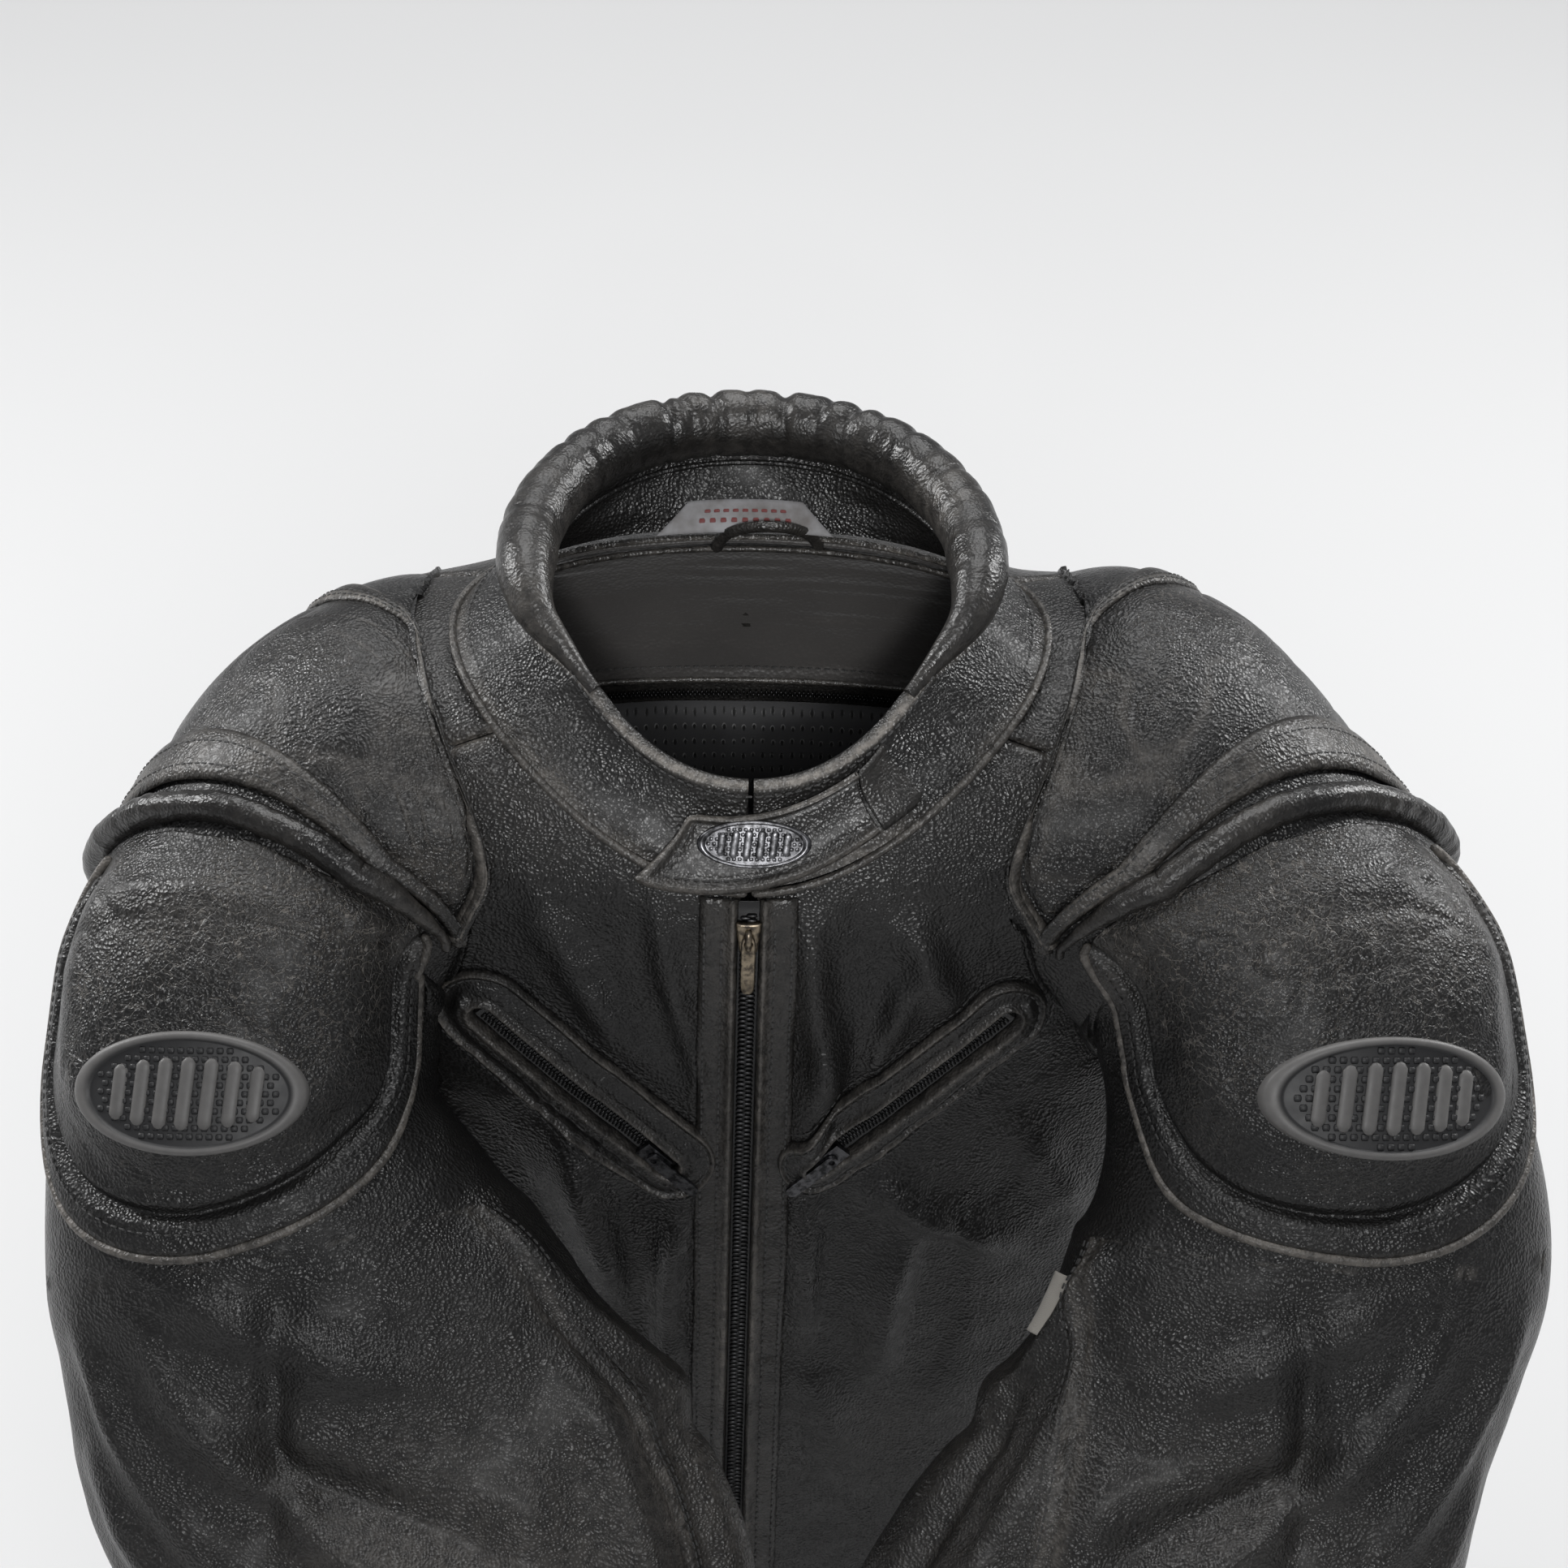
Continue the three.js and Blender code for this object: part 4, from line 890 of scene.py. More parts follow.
def filled(shape, held, cap, voxel=5.0):
    """Fills a closed pad by cloth simulation on a coarse copy, which the fine shape follows.

    held is 1 where the pad is sewn down, and cap is the furthest that any point moves.
    """
    scene = bpy.context.scene
    start_shape = Shape(shape.points.copy(), shape.quads, shape.triangles)
    piece = make("pad_start", start_shape, "leather", body=None)
    remesh = piece.modifiers.new("remesh", "REMESH")
    remesh.mode = "VOXEL"
    remesh.voxel_size = voxel * MILLIMETRE
    coarse = bpy.data.meshes.new_from_object(piece.evaluated_get(bpy.context.evaluated_depsgraph_get()))
    pad = bpy.data.objects.new("pad", coarse)
    scene.collection.objects.link(pad)
    start = np.empty(len(coarse.vertices) * 3)
    coarse.vertices.foreach_get("co", start)
    start = start.reshape(-1, 3)
    fine = start_shape.points * MILLIMETRE + (0, FORWARD_REACH * MILLIMETRE, 0)
    group = pad.vertex_groups.new(name="sewn")
    tree = nearest_tree(fine)
    for number, place in enumerate(start):
        group.add([number], float(held[tree.find(place)[1]]), "REPLACE")
    cloth = pad.modifiers.new("cloth", "CLOTH")
    cloth.settings.quality = 5
    cloth.settings.use_pressure = True
    cloth.settings.uniform_pressure_force = 4
    cloth.settings.vertex_group_mass = "sewn"
    cloth.settings.effector_weights.gravity = 0
    cloth.point_cache.frame_start = 1
    cloth.point_cache.frame_end = 20
    for number in range(1, 21):
        scene.frame_set(number)
    blown = pad.evaluated_get(bpy.context.evaluated_depsgraph_get()).data
    moved = np.empty(len(start) * 3)
    blown.vertices.foreach_get("co", moved)
    shift = (moved.reshape(-1, 3) - start) / MILLIMETRE
    size = np.linalg.norm(shift, axis=1, keepdims=True)
    shift *= np.minimum(1, cap / np.maximum(size, 1e-9))
    tree = nearest_tree(start)
    followed = np.empty_like(shape.points)
    for number, place in enumerate(fine):
        near = tree.find_n(place, 6)
        weight = np.array([1 / (distance + 1e-4) ** 2 for _, _, distance in near])
        followed[number] = (shift[[index for _, index, _ in near]]
                            * weight[:, None]).sum(axis=0) / weight.sum()
    print(f"pad filled: {len(start)} points, mean {size.mean():.2f} mm, largest {size.max():.2f} mm")
    for item in (pad, piece):
        bpy.data.objects.remove(item)
    scene.frame_set(1)
    free = 1 - np.asarray(held, float)[:, None]
    return Shape(shape.points + followed * np.minimum(free * 3, 1), shape.quads, shape.triangles,
                 shape.marks)


def nearest_tree(points):
    tree = KDTree(len(points))
    for number, place in enumerate(points):
        tree.insert(place, number)
    tree.balance()
    return tree


# ---- body panels ----
def body_panel(name, first, last, low, high, node, pitch=3.0):
    """One panel of the body between two angles (degrees) and two levels, cut round the armholes."""
    angles = np.radians(np.linspace(first, last, max(int(abs(last - first) * MM_PER_DEGREE / pitch), 8)))
    levels = np.linspace(low, high, max(int((high - low) * MM_PER_LEVEL / pitch), 6))
    radius, height = 165.0, 560.0
    cut = 1 - TUCKED_UNDER / ARMHOLE["radius"]

    def snapped(angle, level):
        size = np.maximum(armhole_size(angle, level), 1e-6)
        grow = np.where(size < cut, cut / size, 1)
        side = np.where(angle < 0, -1, 1)
        centre = side * math.radians(ARMHOLE["angle"])
        return centre + (angle - centre) * grow, ARMHOLE["level"] + (level - ARMHOLE["level"]) * grow

    def place(angle, level):
        sideways = np.minimum(angle - angles[0], angles[-1] - angle) * radius
        upright = np.minimum(level - low, high - level) * height
        out = sunk_edge(np.minimum(sideways, upright))
        return jacket_skin(*snapped(angle, level), out)

    shape = grid(angles, levels, place)
    flat_angle, flat_level = (a.ravel() for a in np.meshgrid(angles, levels, indexing="ij"))
    inside = (armhole_size(flat_angle, flat_level) < cut) & (np.abs(np.degrees(flat_angle)) < 170)
    gone = inside[shape.quads].all(axis=1)
    distance = np.minimum(np.minimum(flat_angle - angles[0], angles[-1] - flat_angle) * radius,
                          np.minimum(flat_level - low, high - flat_level) * height)
    shape.marks["wear"] = edge_wear(shape.points, distance, 2.6)
    shape.quads = shape.quads[~gone]
    used = np.unique(shape.quads)
    renumber = np.full(len(shape.points), -1)
    renumber[used] = np.arange(len(used))
    kept = Shape(shape.points[used], renumber[shape.quads], marks={"wear": shape.marks["wear"][used]})
    return make(name, thickened(kept, LEATHER), "leather", replaces=[node])


def make_body():
    seam = 0.12
    hem, yoke = level_at(HEM_HEIGHT), level_at(YOKE_HEIGHT)
    front, back = SIDE_SEAM_FRONT, SIDE_SEAM_BACK
    for name, side in SIDES:
        spans = {"front": (1.3, front - seam), "side": (front + seam, back - seam)}
        for panel, (first, last) in spans.items():
            ends = (first, last) if side > 0 else (-last, -first)
            body_panel(f"leather_{panel}_{name}", *ends, hem + 0.0006, 0.9995, f"{panel}_{name}",
                       2.2 if panel == "front" else 3.4)
        ends = (1.3, 180) if side > 0 else (-180, -1.3)
        body_panel(f"leather_hem_band_{name}", *ends, 0.0, hem - 0.0006, f"hem_band_{name}", 3.4)
    body_panel("leather_back_panel", back + seam, 360 - back - seam, hem + 0.0006, yoke - 0.0004,
               "back_panel", 3.4)
    body_panel("leather_back_yoke", back + seam, 360 - back - seam, yoke + 0.0004, 0.9995, "back_yoke", 3.0)
    around = np.radians(np.linspace(6, 354, 500))
    for level in (hem + 0.007, hem - 0.007, 0.008):
        sew("jacket_body", jacket_skin, around, level)
    for level in (yoke + 0.006, yoke + 0.012):
        sew("jacket_body", jacket_skin, np.radians(np.linspace(back + 2, 358 - back, 300)), level)
    for _, side in SIDES:
        for angle in (front - 1.4, front + 1.4, back - 1.4, back + 1.4):
            levels = np.linspace(hem + 0.01, level_at(330), 200)
            sew("jacket_body", jacket_skin, np.full(200, side * math.radians(angle)), levels)


# ---- collar ----
ROLL_END = 50


def collar_folds(points):
    return 0.9 * noise(points, (26, 26, 20), 51) + 0.5 * noise(points, (12, 12, 10), 52)


def collar_outside(angle, height, out):
    base = collar_point(angle, height, 0)
    calm = np.sin(math.pi * np.clip(height, 0, 1)) ** 0.5
    return collar_point(angle, height, COLLAR_THICKNESS / 2 + calm * collar_folds(base) + out)


def make_collar_stand():
    """The band round the neck: outer leather, rounded top edge and inner leather, slit at the front."""
    turns = np.radians(np.linspace(0.6, 359.4, 420))
    half = COLLAR_THICKNESS / 2
    # over the section: 0 outer seam, 0.45 outer top, 0.55 inner top, 1 inner seam
    sections = np.concatenate([np.linspace(0, 0.42, 18), np.linspace(0.44, 0.56, 9),
                               np.linspace(0.58, 1, 18)])

    def place(turn, section):
        angle = np.where(turn > math.pi, turn - 2 * math.pi, turn)
        top = stand_top(angle)
        arc = np.clip((section - 0.43) / 0.14, 0, 1) * math.pi
        height = np.where(section < 0.43, section / 0.43,
                          np.where(section > 0.57, (1 - section) / 0.43, 1)) * top
        out = half * np.where(section < 0.43, 1, np.where(section > 0.57, -1, np.cos(arc)))
        rise = half * 0.9 * np.sin(arc) / 42
        base = collar_point(angle, height, 0)
        bulge = np.sin(math.pi * np.clip(height / np.maximum(top, 0.1), 0, 1))
        outer = section < 0.5
        folds = np.where(outer, collar_folds(base), 0.8 * noise(base, (22, 22, 9), 54) - 0.5) * bulge ** 0.5
        sink = sunk_edge(height * 42, 3.0, 1.4) * np.where(outer, 1, -1)
        return collar_point(angle, height + rise, out + folds * np.where(outer, 1, 1) + sink)

    shape = grid(turns, sections, place)
    columns, rows = np.meshgrid(turns, sections, indexing="ij")
    rim = np.exp(-((rows.ravel() - 0.47) / 0.03) ** 2)
    seam = np.exp(-(rows.ravel() / 0.05) ** 2)
    shape.marks["wear"] = rim * (0.75 + 0.4 * noise(shape.points, 18, 56)) + 0.5 * seam * (
        0.5 + noise(shape.points, 22, 57))
    base = len(shape.points)
    ends = []
    ring = np.arange(base).reshape(columns.shape)
    for row, order in ((ring[0], 1), (ring[-1], -1)):
        pairs = [(row[k], row[k + 1], row[-2 - k], row[-1 - k]) for k in range(len(row) // 2 - 1)]
        ends += [pair[::order] for pair in pairs]
    shape.quads = np.concatenate([shape.quads, np.array(ends)])
    make("leather_collar_stand", shape, "leather", replaces=["collar_stand"])
    angles = np.radians(np.linspace(-176, 176, 420))
    sew("jacket_body", collar_outside, angles, 0.09, lift=-0.1)
    front = np.radians(np.linspace(-58, 58, 160))
    sew("jacket_body", lambda u, v, out: collar_point(u, v, COLLAR_THICKNESS / 2 + out), front, 0.93)


def make_collar_seam():
    """Piping where the collar joins the body, worn grey."""
    angles = np.radians(np.linspace(1, 359, 360))
    path = body_point(angles, 0.997, 2.4) + (0, 0, 1.2)
    make("collar_seam_piping", tube(path, 1.5, 8, marks={"wear": 0.35}), "trim_leather")


def roll_centre(angle):
    base = collar_point(angle, stand_top(angle), 0)
    ends = smoothstep(np.abs(angle), math.radians(ROLL_END), math.radians(ROLL_END + 26))
    base[..., 2] += 1 + 12.5 * ends
    return base


def make_collar_roll():
    """The padded roll: gathered into deep pleats round the back, smooth and narrowing towards its ends."""
    turns = np.radians(np.linspace(ROLL_END - 2, 360 - ROLL_END + 2, 620))
    sides = 36
    angle = np.where(turns > math.pi, turns - 2 * math.pi, turns)
    centres = roll_centre(angle)
    centres = np.stack([np.convolve(np.pad(centres[:, k], 6, mode="edge"), np.ones(13) / 13, mode="valid")
                        for k in range(3)], axis=1)
    length = np.concatenate([[0], np.cumsum(np.linalg.norm(np.diff(centres, axis=0), axis=1))])
    from_end = np.minimum(length, length[-1] - length)
    taper = 0.22 + 0.78 * smoothstep(from_end, 0, 66)
    _, across, upward = frames_along(centres, np.broadcast_to(np.array([0, 0, 1.0]), centres.shape), False)
    turn = np.arange(sides) * 2 * math.pi / sides
    along, around = np.meshgrid(length, turn, indexing="ij")
    back = hump(np.degrees(turns), 180, 62)[:, None]
    pleats = np.zeros(along.shape)
    spacing = 12.5
    for number in range(int(length[-1] / spacing) + 1):
        jitter = cell_values(np.array([[number, 3, 5]]), 61)[0]
        deep = 0.65 + 0.35 * cell_values(np.array([[number, 9, 2]]), 62)[0]
        middle = number * spacing + 3.4 * jitter + 1.6 * np.sin(around + 2 * jitter)
        pleats += deep * hump(along, middle, 2.4)
    points_for_noise = np.stack([along, around * 9, np.zeros(along.shape)], axis=-1)
    fine = 0.55 * noise(points_for_noise, (3.2, 16, 9), 63) + 0.7 * noise(points_for_noise, (9, 22, 9), 64)
    swell = 1 - pleats * back * 0.23 * (0.6 + 0.4 * np.cos(around - 0.6)) + 0.035 * fine
    wide = 10.8 * taper[:, None] * swell
    tall = 12.6 * taper[:, None] * swell
    ring = (across[:, None] * (np.cos(around) * wide)[..., None] + upward[:, None]
            * (np.sin(around) * tall)[..., None])
    points = (centres[:, None] + ring)
    index = np.arange(points.shape[0] * sides).reshape(-1, sides)
    here, there = index[:-1], index[1:]
    quads = np.stack([here, np.roll(here, -1, axis=1), np.roll(there, -1, axis=1), there],
                     axis=-1).reshape(-1, 4)
    flat = points.reshape(-1, 3)
    middles = np.stack([points[0].mean(axis=0), points[-1].mean(axis=0)])
    first, last = len(flat), len(flat) + 1
    triangles = [[first, index[0, (k + 1) % sides], index[0, k]] for k in range(sides)]
    triangles += [[last, index[-1, k], index[-1, (k + 1) % sides]] for k in range(sides)]
    wear = np.concatenate([(0.18 + 0.2 * noise(flat, 30, 66)) * (1 - pleats.ravel() * 0.5), [0, 0]])
    shape = Shape(np.concatenate([flat, middles]), quads, triangles, {"wear": wear})
    sewn = smoothstep(-np.sin(around), 0.3, 0.9).ravel()
    shape = filled(shape, np.concatenate([sewn, [1, 1]]), 1.5)
    piece = make("padded_collar_roll", shape, "roll_leather",
                 replaces=["collar_roll"])
    inner = np.radians(np.linspace(ROLL_END + 10, 350 - ROLL_END, 300))
    wrapped = np.where(inner > math.pi, inner - 2 * math.pi, inner)
    path = collar_point(wrapped, stand_top(wrapped) - 0.06, -COLLAR_THICKNESS / 2 - 0.6)
    make("roll_seam_piping", tube(path, 1.1, 8), "trim_leather")


def make_inside():
    """What shows through the neck: facing, liner zip, mesh lining, label and hanging loop."""
    turns = np.radians(np.linspace(110, 250, 150))
    levels = np.linspace(0.602, 0.985, 100)

    def facing_place(angle, level):
        base = body_point(angle, level, -4)
        lines = 0.5 * noise(base, (34, 34, 3.2), 71) + 0.8 * noise(base, (46, 46, 16), 72)
        turned = 1.6 * hump(level, 0.604, 0.006)
        return body_point(angle, level, -4.2 - np.maximum(lines, -0.6) - turned)

    facing = grid(turns, levels, facing_place, flip=True)
    facing.marks["wear"] = 0.06 + 0 * facing.points[:, 0]
    make("leather_neck_facing", thickened(facing, 1.8), "facing_leather",
         replaces=["neck_facing"])
    edge = np.radians(np.linspace(111, 249, 200))
    for level, radius in ((0.603, 1.3), (0.983, 1.2)):
        path = body_point(edge, level, -6.2)
        name = "facing_lower_piping" if level < 0.8 else "facing_upper_piping"
        make(name, tube(path, radius, 8, marks={"wear": 0.25}), "trim_leather")
    sew("jacket_body", lambda u, v, out: body_point(u, v, -5.6 - out), edge, 0.616)
    swept = edge[-1] - edge[0]
    teeth = zip_chain(lambda t, aside, out: body_point(edge[0] + swept * t, 0.59 + aside / 560, -5.6 - out),
                      300, 1.6, 2.0)
    make("liner_zip_teeth", teeth, "zip_teeth", replaces=["liner_zip_chain"])

    lining_levels = np.linspace(0.1, 0.58, 56)

    def lining_place(angle, level):
        upward = (level - 0.1) / 0.48
        sideward = (angle - turns[0]) / (turns[-1] - turns[0])
        edge_share = np.clip(6 * np.minimum(sideward, 1 - sideward), 0, 1)
        bow = 9.5 * np.sin(math.pi * np.clip(upward, 0, 1)) ** 0.35 * edge_share
        base = body_point(angle, level, -4)
        return body_point(angle, level, -4.9 - bow - 0.8 * noise(base, (30, 30, 40), 74))

    lining = thickened(grid(np.radians(np.linspace(110, 250, 110)), lining_levels, lining_place, flip=True),
                       0.9)
    piece = make("mesh_back_lining", lining, "mesh", replaces=["lining_mesh"])

    def label_place(u, v):
        angle = np.radians(181 + 37 * (u - 0.5) * (1 - 0.28 * v))
        return collar_point(angle - 2 * math.pi, 0.21 * v - 0.03,
                            -COLLAR_THICKNESS / 2 - 1.2 - 0.8 * hump(u, 0.2, 0.2))

    label = thickened(grid(np.linspace(0, 1, 24), np.linspace(0, 1, 10), label_place, flip=True), 0.7)
    make("woven_neck_label", label, "label", replaces=["neck_label"])
    marks = []
    for row in range(2):
        for number in range(9):
            u = 0.22 + 0.07 * number
            v = 0.36 + 0.3 * row
            centre = label_place(np.array([u]), np.array([v])) + 0
            beyond = label_place(np.array([u + 0.02]), np.array([v]))
            inward = unit(-centre * (1, 1, 0))
            marks.append(capsules(centre + inward * 0.4, beyond - centre, inward, 2.2, 2.6 - row, 0.4))
    make("label_embroidery", joined(marks), "red_thread")

    reach = np.linspace(-1, 1, 60)
    base = body_point(math.pi, 1.0, -6.6)
    path = stack(19 * reach + 7, base[1] + 1 - 6 * (1 - reach ** 2),
                 base[2] - 2 + 17 * np.sqrt(1 - reach ** 2 * 0.98))
    loop = tube(path, 2.3, 10, normals=np.broadcast_to(np.array([0, -1.0, 0.2]), path.shape), flatness=0.62,
                marks={"wear": 0.1})
    make("round_hanging_loop", loop, "trim_leather", replaces=["hanging_loop"])


def zip_chain(place, count, pitch_width, height, gap=0.0):
    """Two rows of interlocked teeth; place takes a share of the way, and millimetres aside and out."""
    share = (np.arange(count) + 0.5) / count
    shapes = []
    for row, offset in ((-1, 0.0), (1, 0.5)):
        at = np.clip(share + offset / count, 0, 1)
        aside = np.full(count, row * (pitch_width * 0.45 + gap))
        centre = place(at, aside, np.full(count, height / 2))
        across = place(at, aside + 0.5, np.full(count, height / 2)) - centre
        upward = place(at, aside, np.full(count, height / 2 + 0.5)) - centre
        ahead = place(np.clip(at + 1e-3, 0, 1), aside, np.full(count, height / 2)) - place(
            np.clip(at - 1e-3, 0, 1), aside, np.full(count, height / 2))
        spacing = np.linalg.norm(ahead, axis=1).mean() / 2e-3 / count
        shapes.append(capsules(centre, across, upward, pitch_width * 1.5, spacing * 0.62, height))
    return joined(shapes)


# ---- collar tab ----
def make_tab():
    turns = np.linspace(0, 1, 130)
    heights = np.linspace(0, 1, 44)
    low, high = TAB["low"], TAB["high"]

    def outline(u, v):
        """The free end slants and hangs lower than the root; its corners are rounded."""
        end = np.clip(1 - u * 11, 0, 1)
        round_off = 1 - np.sqrt(np.clip(1 - end ** 2, 0, 1))
        drop = TAB["drop"] * (1 - u) ** 1.5
        lower = low - drop + 0.05 * round_off
        upper = high - drop - 0.16 * round_off
        return np.radians(TAB["free"] + TAB["slant"] * v * (1 - u) + (TAB["root"] - TAB["free"]) * u), (
            lower + (upper - lower) * v)

    def tab_place(u, v, out=0.0):
        angle, height = outline(u, v)
        across = np.minimum(v, 1 - v) * 32
        inward = np.minimum(across, u * 70)
        roll = 1.1 * hump(inward, 1.6, 1.5) - 1.6 * np.exp(-((inward / 0.9) ** 2)) - 0.5 * hump(inward, 4.6,
                                                                                                1.5)
        base = collar_point(angle, height, 0)
        soft = 0.5 * noise(base, (18, 18, 12), 81) * smoothstep(inward, 4, 10)
        return collar_point(angle, height, TAB["out"] + TAB["thickness"] + roll + soft + out)

    shape = grid(turns, heights, tab_place)
    u, v = (a.ravel() for a in np.meshgrid(turns, heights, indexing="ij"))
    inward = np.minimum(np.minimum(v, 1 - v) * 32, u * 70)
    shape.marks["wear"] = edge_wear(shape.points, inward - 1, 1.6)
    make("leather_collar_tab", thickened(shape, TAB["thickness"] - 0.4), "trim_leather", body="collar_tab",
         replaces=["collar_tab"])
    inset = 4.6 / 32
    edge = np.linspace(0.07, 0.985, 120)
    corner = np.linspace(inset, 1 - inset, 30)
    sew("collar_tab", tab_place, edge, np.full(120, inset), thread=0.65)
    sew("collar_tab", tab_place, edge, np.full(120, 1 - inset), thread=0.65)
    sew("collar_tab", tab_place, np.full(30, 0.07), corner, thread=0.65)

    def root_place(u, v):
        edge_drop = 1.4 * np.exp(-((np.minimum(v, 1 - v) * 26) ** 2))
        out = TAB["out"] + TAB["thickness"] - 5.6 * u ** 1.5 - edge_drop
        return collar_point(np.radians(TAB["root"] + 0.8 + 11 * u), low + (high - low) * v, out)

    strap = thickened(grid(np.linspace(0, 1, 20), np.linspace(0, 1, 30), root_place), 2.2)
    strap.marks["wear"] = np.full(len(strap.points), 0.06)
    make("leather_tab_root", strap, "trim_leather", replaces=["collar_tab_root"])

    onto = plate_on(collar_point, math.radians(0.8), 0.40, 230, TAB["out"] + TAB["thickness"] + 1.0)
    make("oval_collar_badge", oval_badge(onto, 19.5, 8.2, -0.6, 2.4, 1.5, 20, 6), "dark_metal",
         body="collar_tab",
         replaces=["collar_badge"])

    def stud(x, y, out):
        return collar_point(math.radians(TAB["free"] + 13) + x / 78, 0.34 + y / 38, 3.4 + out)

    make("round_snap_stud", dome(stud, 4.6, 1.2), "brass", replaces=["collar_snap_stud"])


def plate_on(surface, u, v, bow, base=0.0):
    """Places points on a plate laid flat on a surface, level across, and bowed back towards its ends."""
    middle, outward = (found[0] for found in surface_path(surface, np.array([u]), v))
    upward = unit(np.cross(outward, [1.0, 0, 0]))
    sideways = np.cross(upward, outward)

    def onto(x, y, out):
        height = base + out - x ** 2 / bow
        return middle + x[:, None] * sideways + y[:, None] * upward + height[:, None] * outward

    return onto


def polar(place, radii, spokes, half_length, half_height, out, marks=None):
    """Disc of rings about its middle; out takes the share of the radius, and x and y in millimetres."""
    turns = np.arange(spokes) * 2 * math.pi / spokes
    share, turn = np.meshgrid(radii, turns, indexing="ij")
    x = share.ravel() * np.cos(turn.ravel()) * half_length
    y = share.ravel() * np.sin(turn.ravel()) * half_height
    points = place(x, y, out(share.ravel(), x, y))
    index = np.arange(points.shape[0]).reshape(share.shape)
    here, there = index[:-1], index[1:]
    quads = np.stack([here, there, np.roll(there, -1, axis=1), np.roll(here, -1, axis=1)],
                     axis=-1).reshape(-1, 4)
    centre = place(np.zeros(1), np.zeros(1), out(np.zeros(1), np.zeros(1), np.zeros(1)))
    last = len(points)
    triangles = [[last, index[0, k], index[0, (k + 1) % spokes]] for k in range(spokes)]
    shape = Shape(np.concatenate([points, centre]), quads, triangles)
    for name, mark in (marks or {}).items():
        shape.marks[name] = np.concatenate([mark(share.ravel(), x, y),
                                            mark(np.zeros(1), np.zeros(1), np.zeros(1))])
    return shape


def dome(place, radius, height):
    """Low button: a rounded top and a skirt down to the surface."""
    radii = np.concatenate([np.linspace(0.08, 0.96, 9), [1.0, 1.0]])
    drop = np.concatenate([np.zeros(10), [1.0]])

    def out(share, x, y):
        if share.size == 1:
            return np.full(1, height)
        fall = np.repeat(drop, share.size // len(drop))
        return np.where(fall > 0, -0.4, height * np.sqrt(np.clip(1 - 0.9 * share ** 4, 0, 1)))

    return polar(place, radii, 32, radius, radius, out)


def oval_badge(place, half_length, half_height, low, top, rim, dots_across, bars):
    """Oval plate with a raised rim, a field of small dots and a row of plain slanting bars."""
    field = top - 1.2
    radii = np.concatenate([np.linspace(0.05, 0.82, 14), np.linspace(0.84, 1.0, 12), [1.0]])
    skirt = np.concatenate([np.zeros(len(radii) - 1), [1.0]])

    def out(share, x, y):
        if share.size == 1:
            return np.full(1, field)
        fall = np.repeat(skirt, share.size // len(radii))
        crest = field + (rim * 0.6) * np.sin(math.pi * np.clip((share - 0.86) / 0.14, 0, 1)) ** 0.6
        return np.where(fall > 0, low, crest)

    rim_wear = lambda share, x, y: 0.9 * smoothstep(share, 0.86, 0.92)
    plate = polar(place, radii, 96, half_length, half_height, out, {"wear": rim_wear})
    shapes = [plate]
    pitch = 2 * half_length / dots_across
    xs, ys = [], []
    for row in range(-dots_across, dots_across + 1):
        for column in range(-dots_across, dots_across + 1):
            x = (column + 0.5 * (row % 2)) * pitch
            y = row * pitch * 0.87
            if math.hypot(x / half_length, y / half_height) < 0.80:
                xs.append(x)
                ys.append(y)
    xs, ys = np.array(xs), np.array(ys)
    centre = place(xs, ys, np.full(xs.shape, field + 0.05))
    run = place(xs + 0.3, ys, np.full(xs.shape, field)) - place(xs, ys, np.full(xs.shape, field))
    upward = place(xs, ys, np.full(xs.shape, field + 1)) - place(xs, ys, np.full(xs.shape, field))
    shapes.append(capsules(centre, run, upward, pitch * 0.72, pitch * 0.66, pitch * 0.30))
    for number in range(bars):
        x = (number - (bars - 1) / 2) / bars * 1.36 * half_length
        reach = 0.50 * half_height * math.sqrt(max(0.1, 1 - (x / (0.84 * half_length)) ** 2))
        steps = np.linspace(-1, 1, 12)
        path = place(x + 0.12 * steps * reach, steps * reach, np.full(12, field + 0.3))
        lifted = place(x + 0.12 * steps * reach, steps * reach, np.full(12, field + 1.3))
        width = half_length / bars * 0.44
        shapes.append(tube(path, width, 12, normals=lifted - path, flatness=0.38, marks={"wear": 0.9}))
    return joined(shapes)


# ---- main zip ----
def zip_line(z, out):
    z = np.asarray(z, float)
    foot, head = chest_foot_and_head()
    share = ((z - foot[2]) / (head[2] - foot[2]))[..., None]
    return foot + (head - foot) * share - np.asarray(out)[..., None] * np.array([0, 1.0, 0])


def chest_foot_and_head():
    return [body_point(*front_place(0, z), 0) for z in (20, ZIP_TOP)]


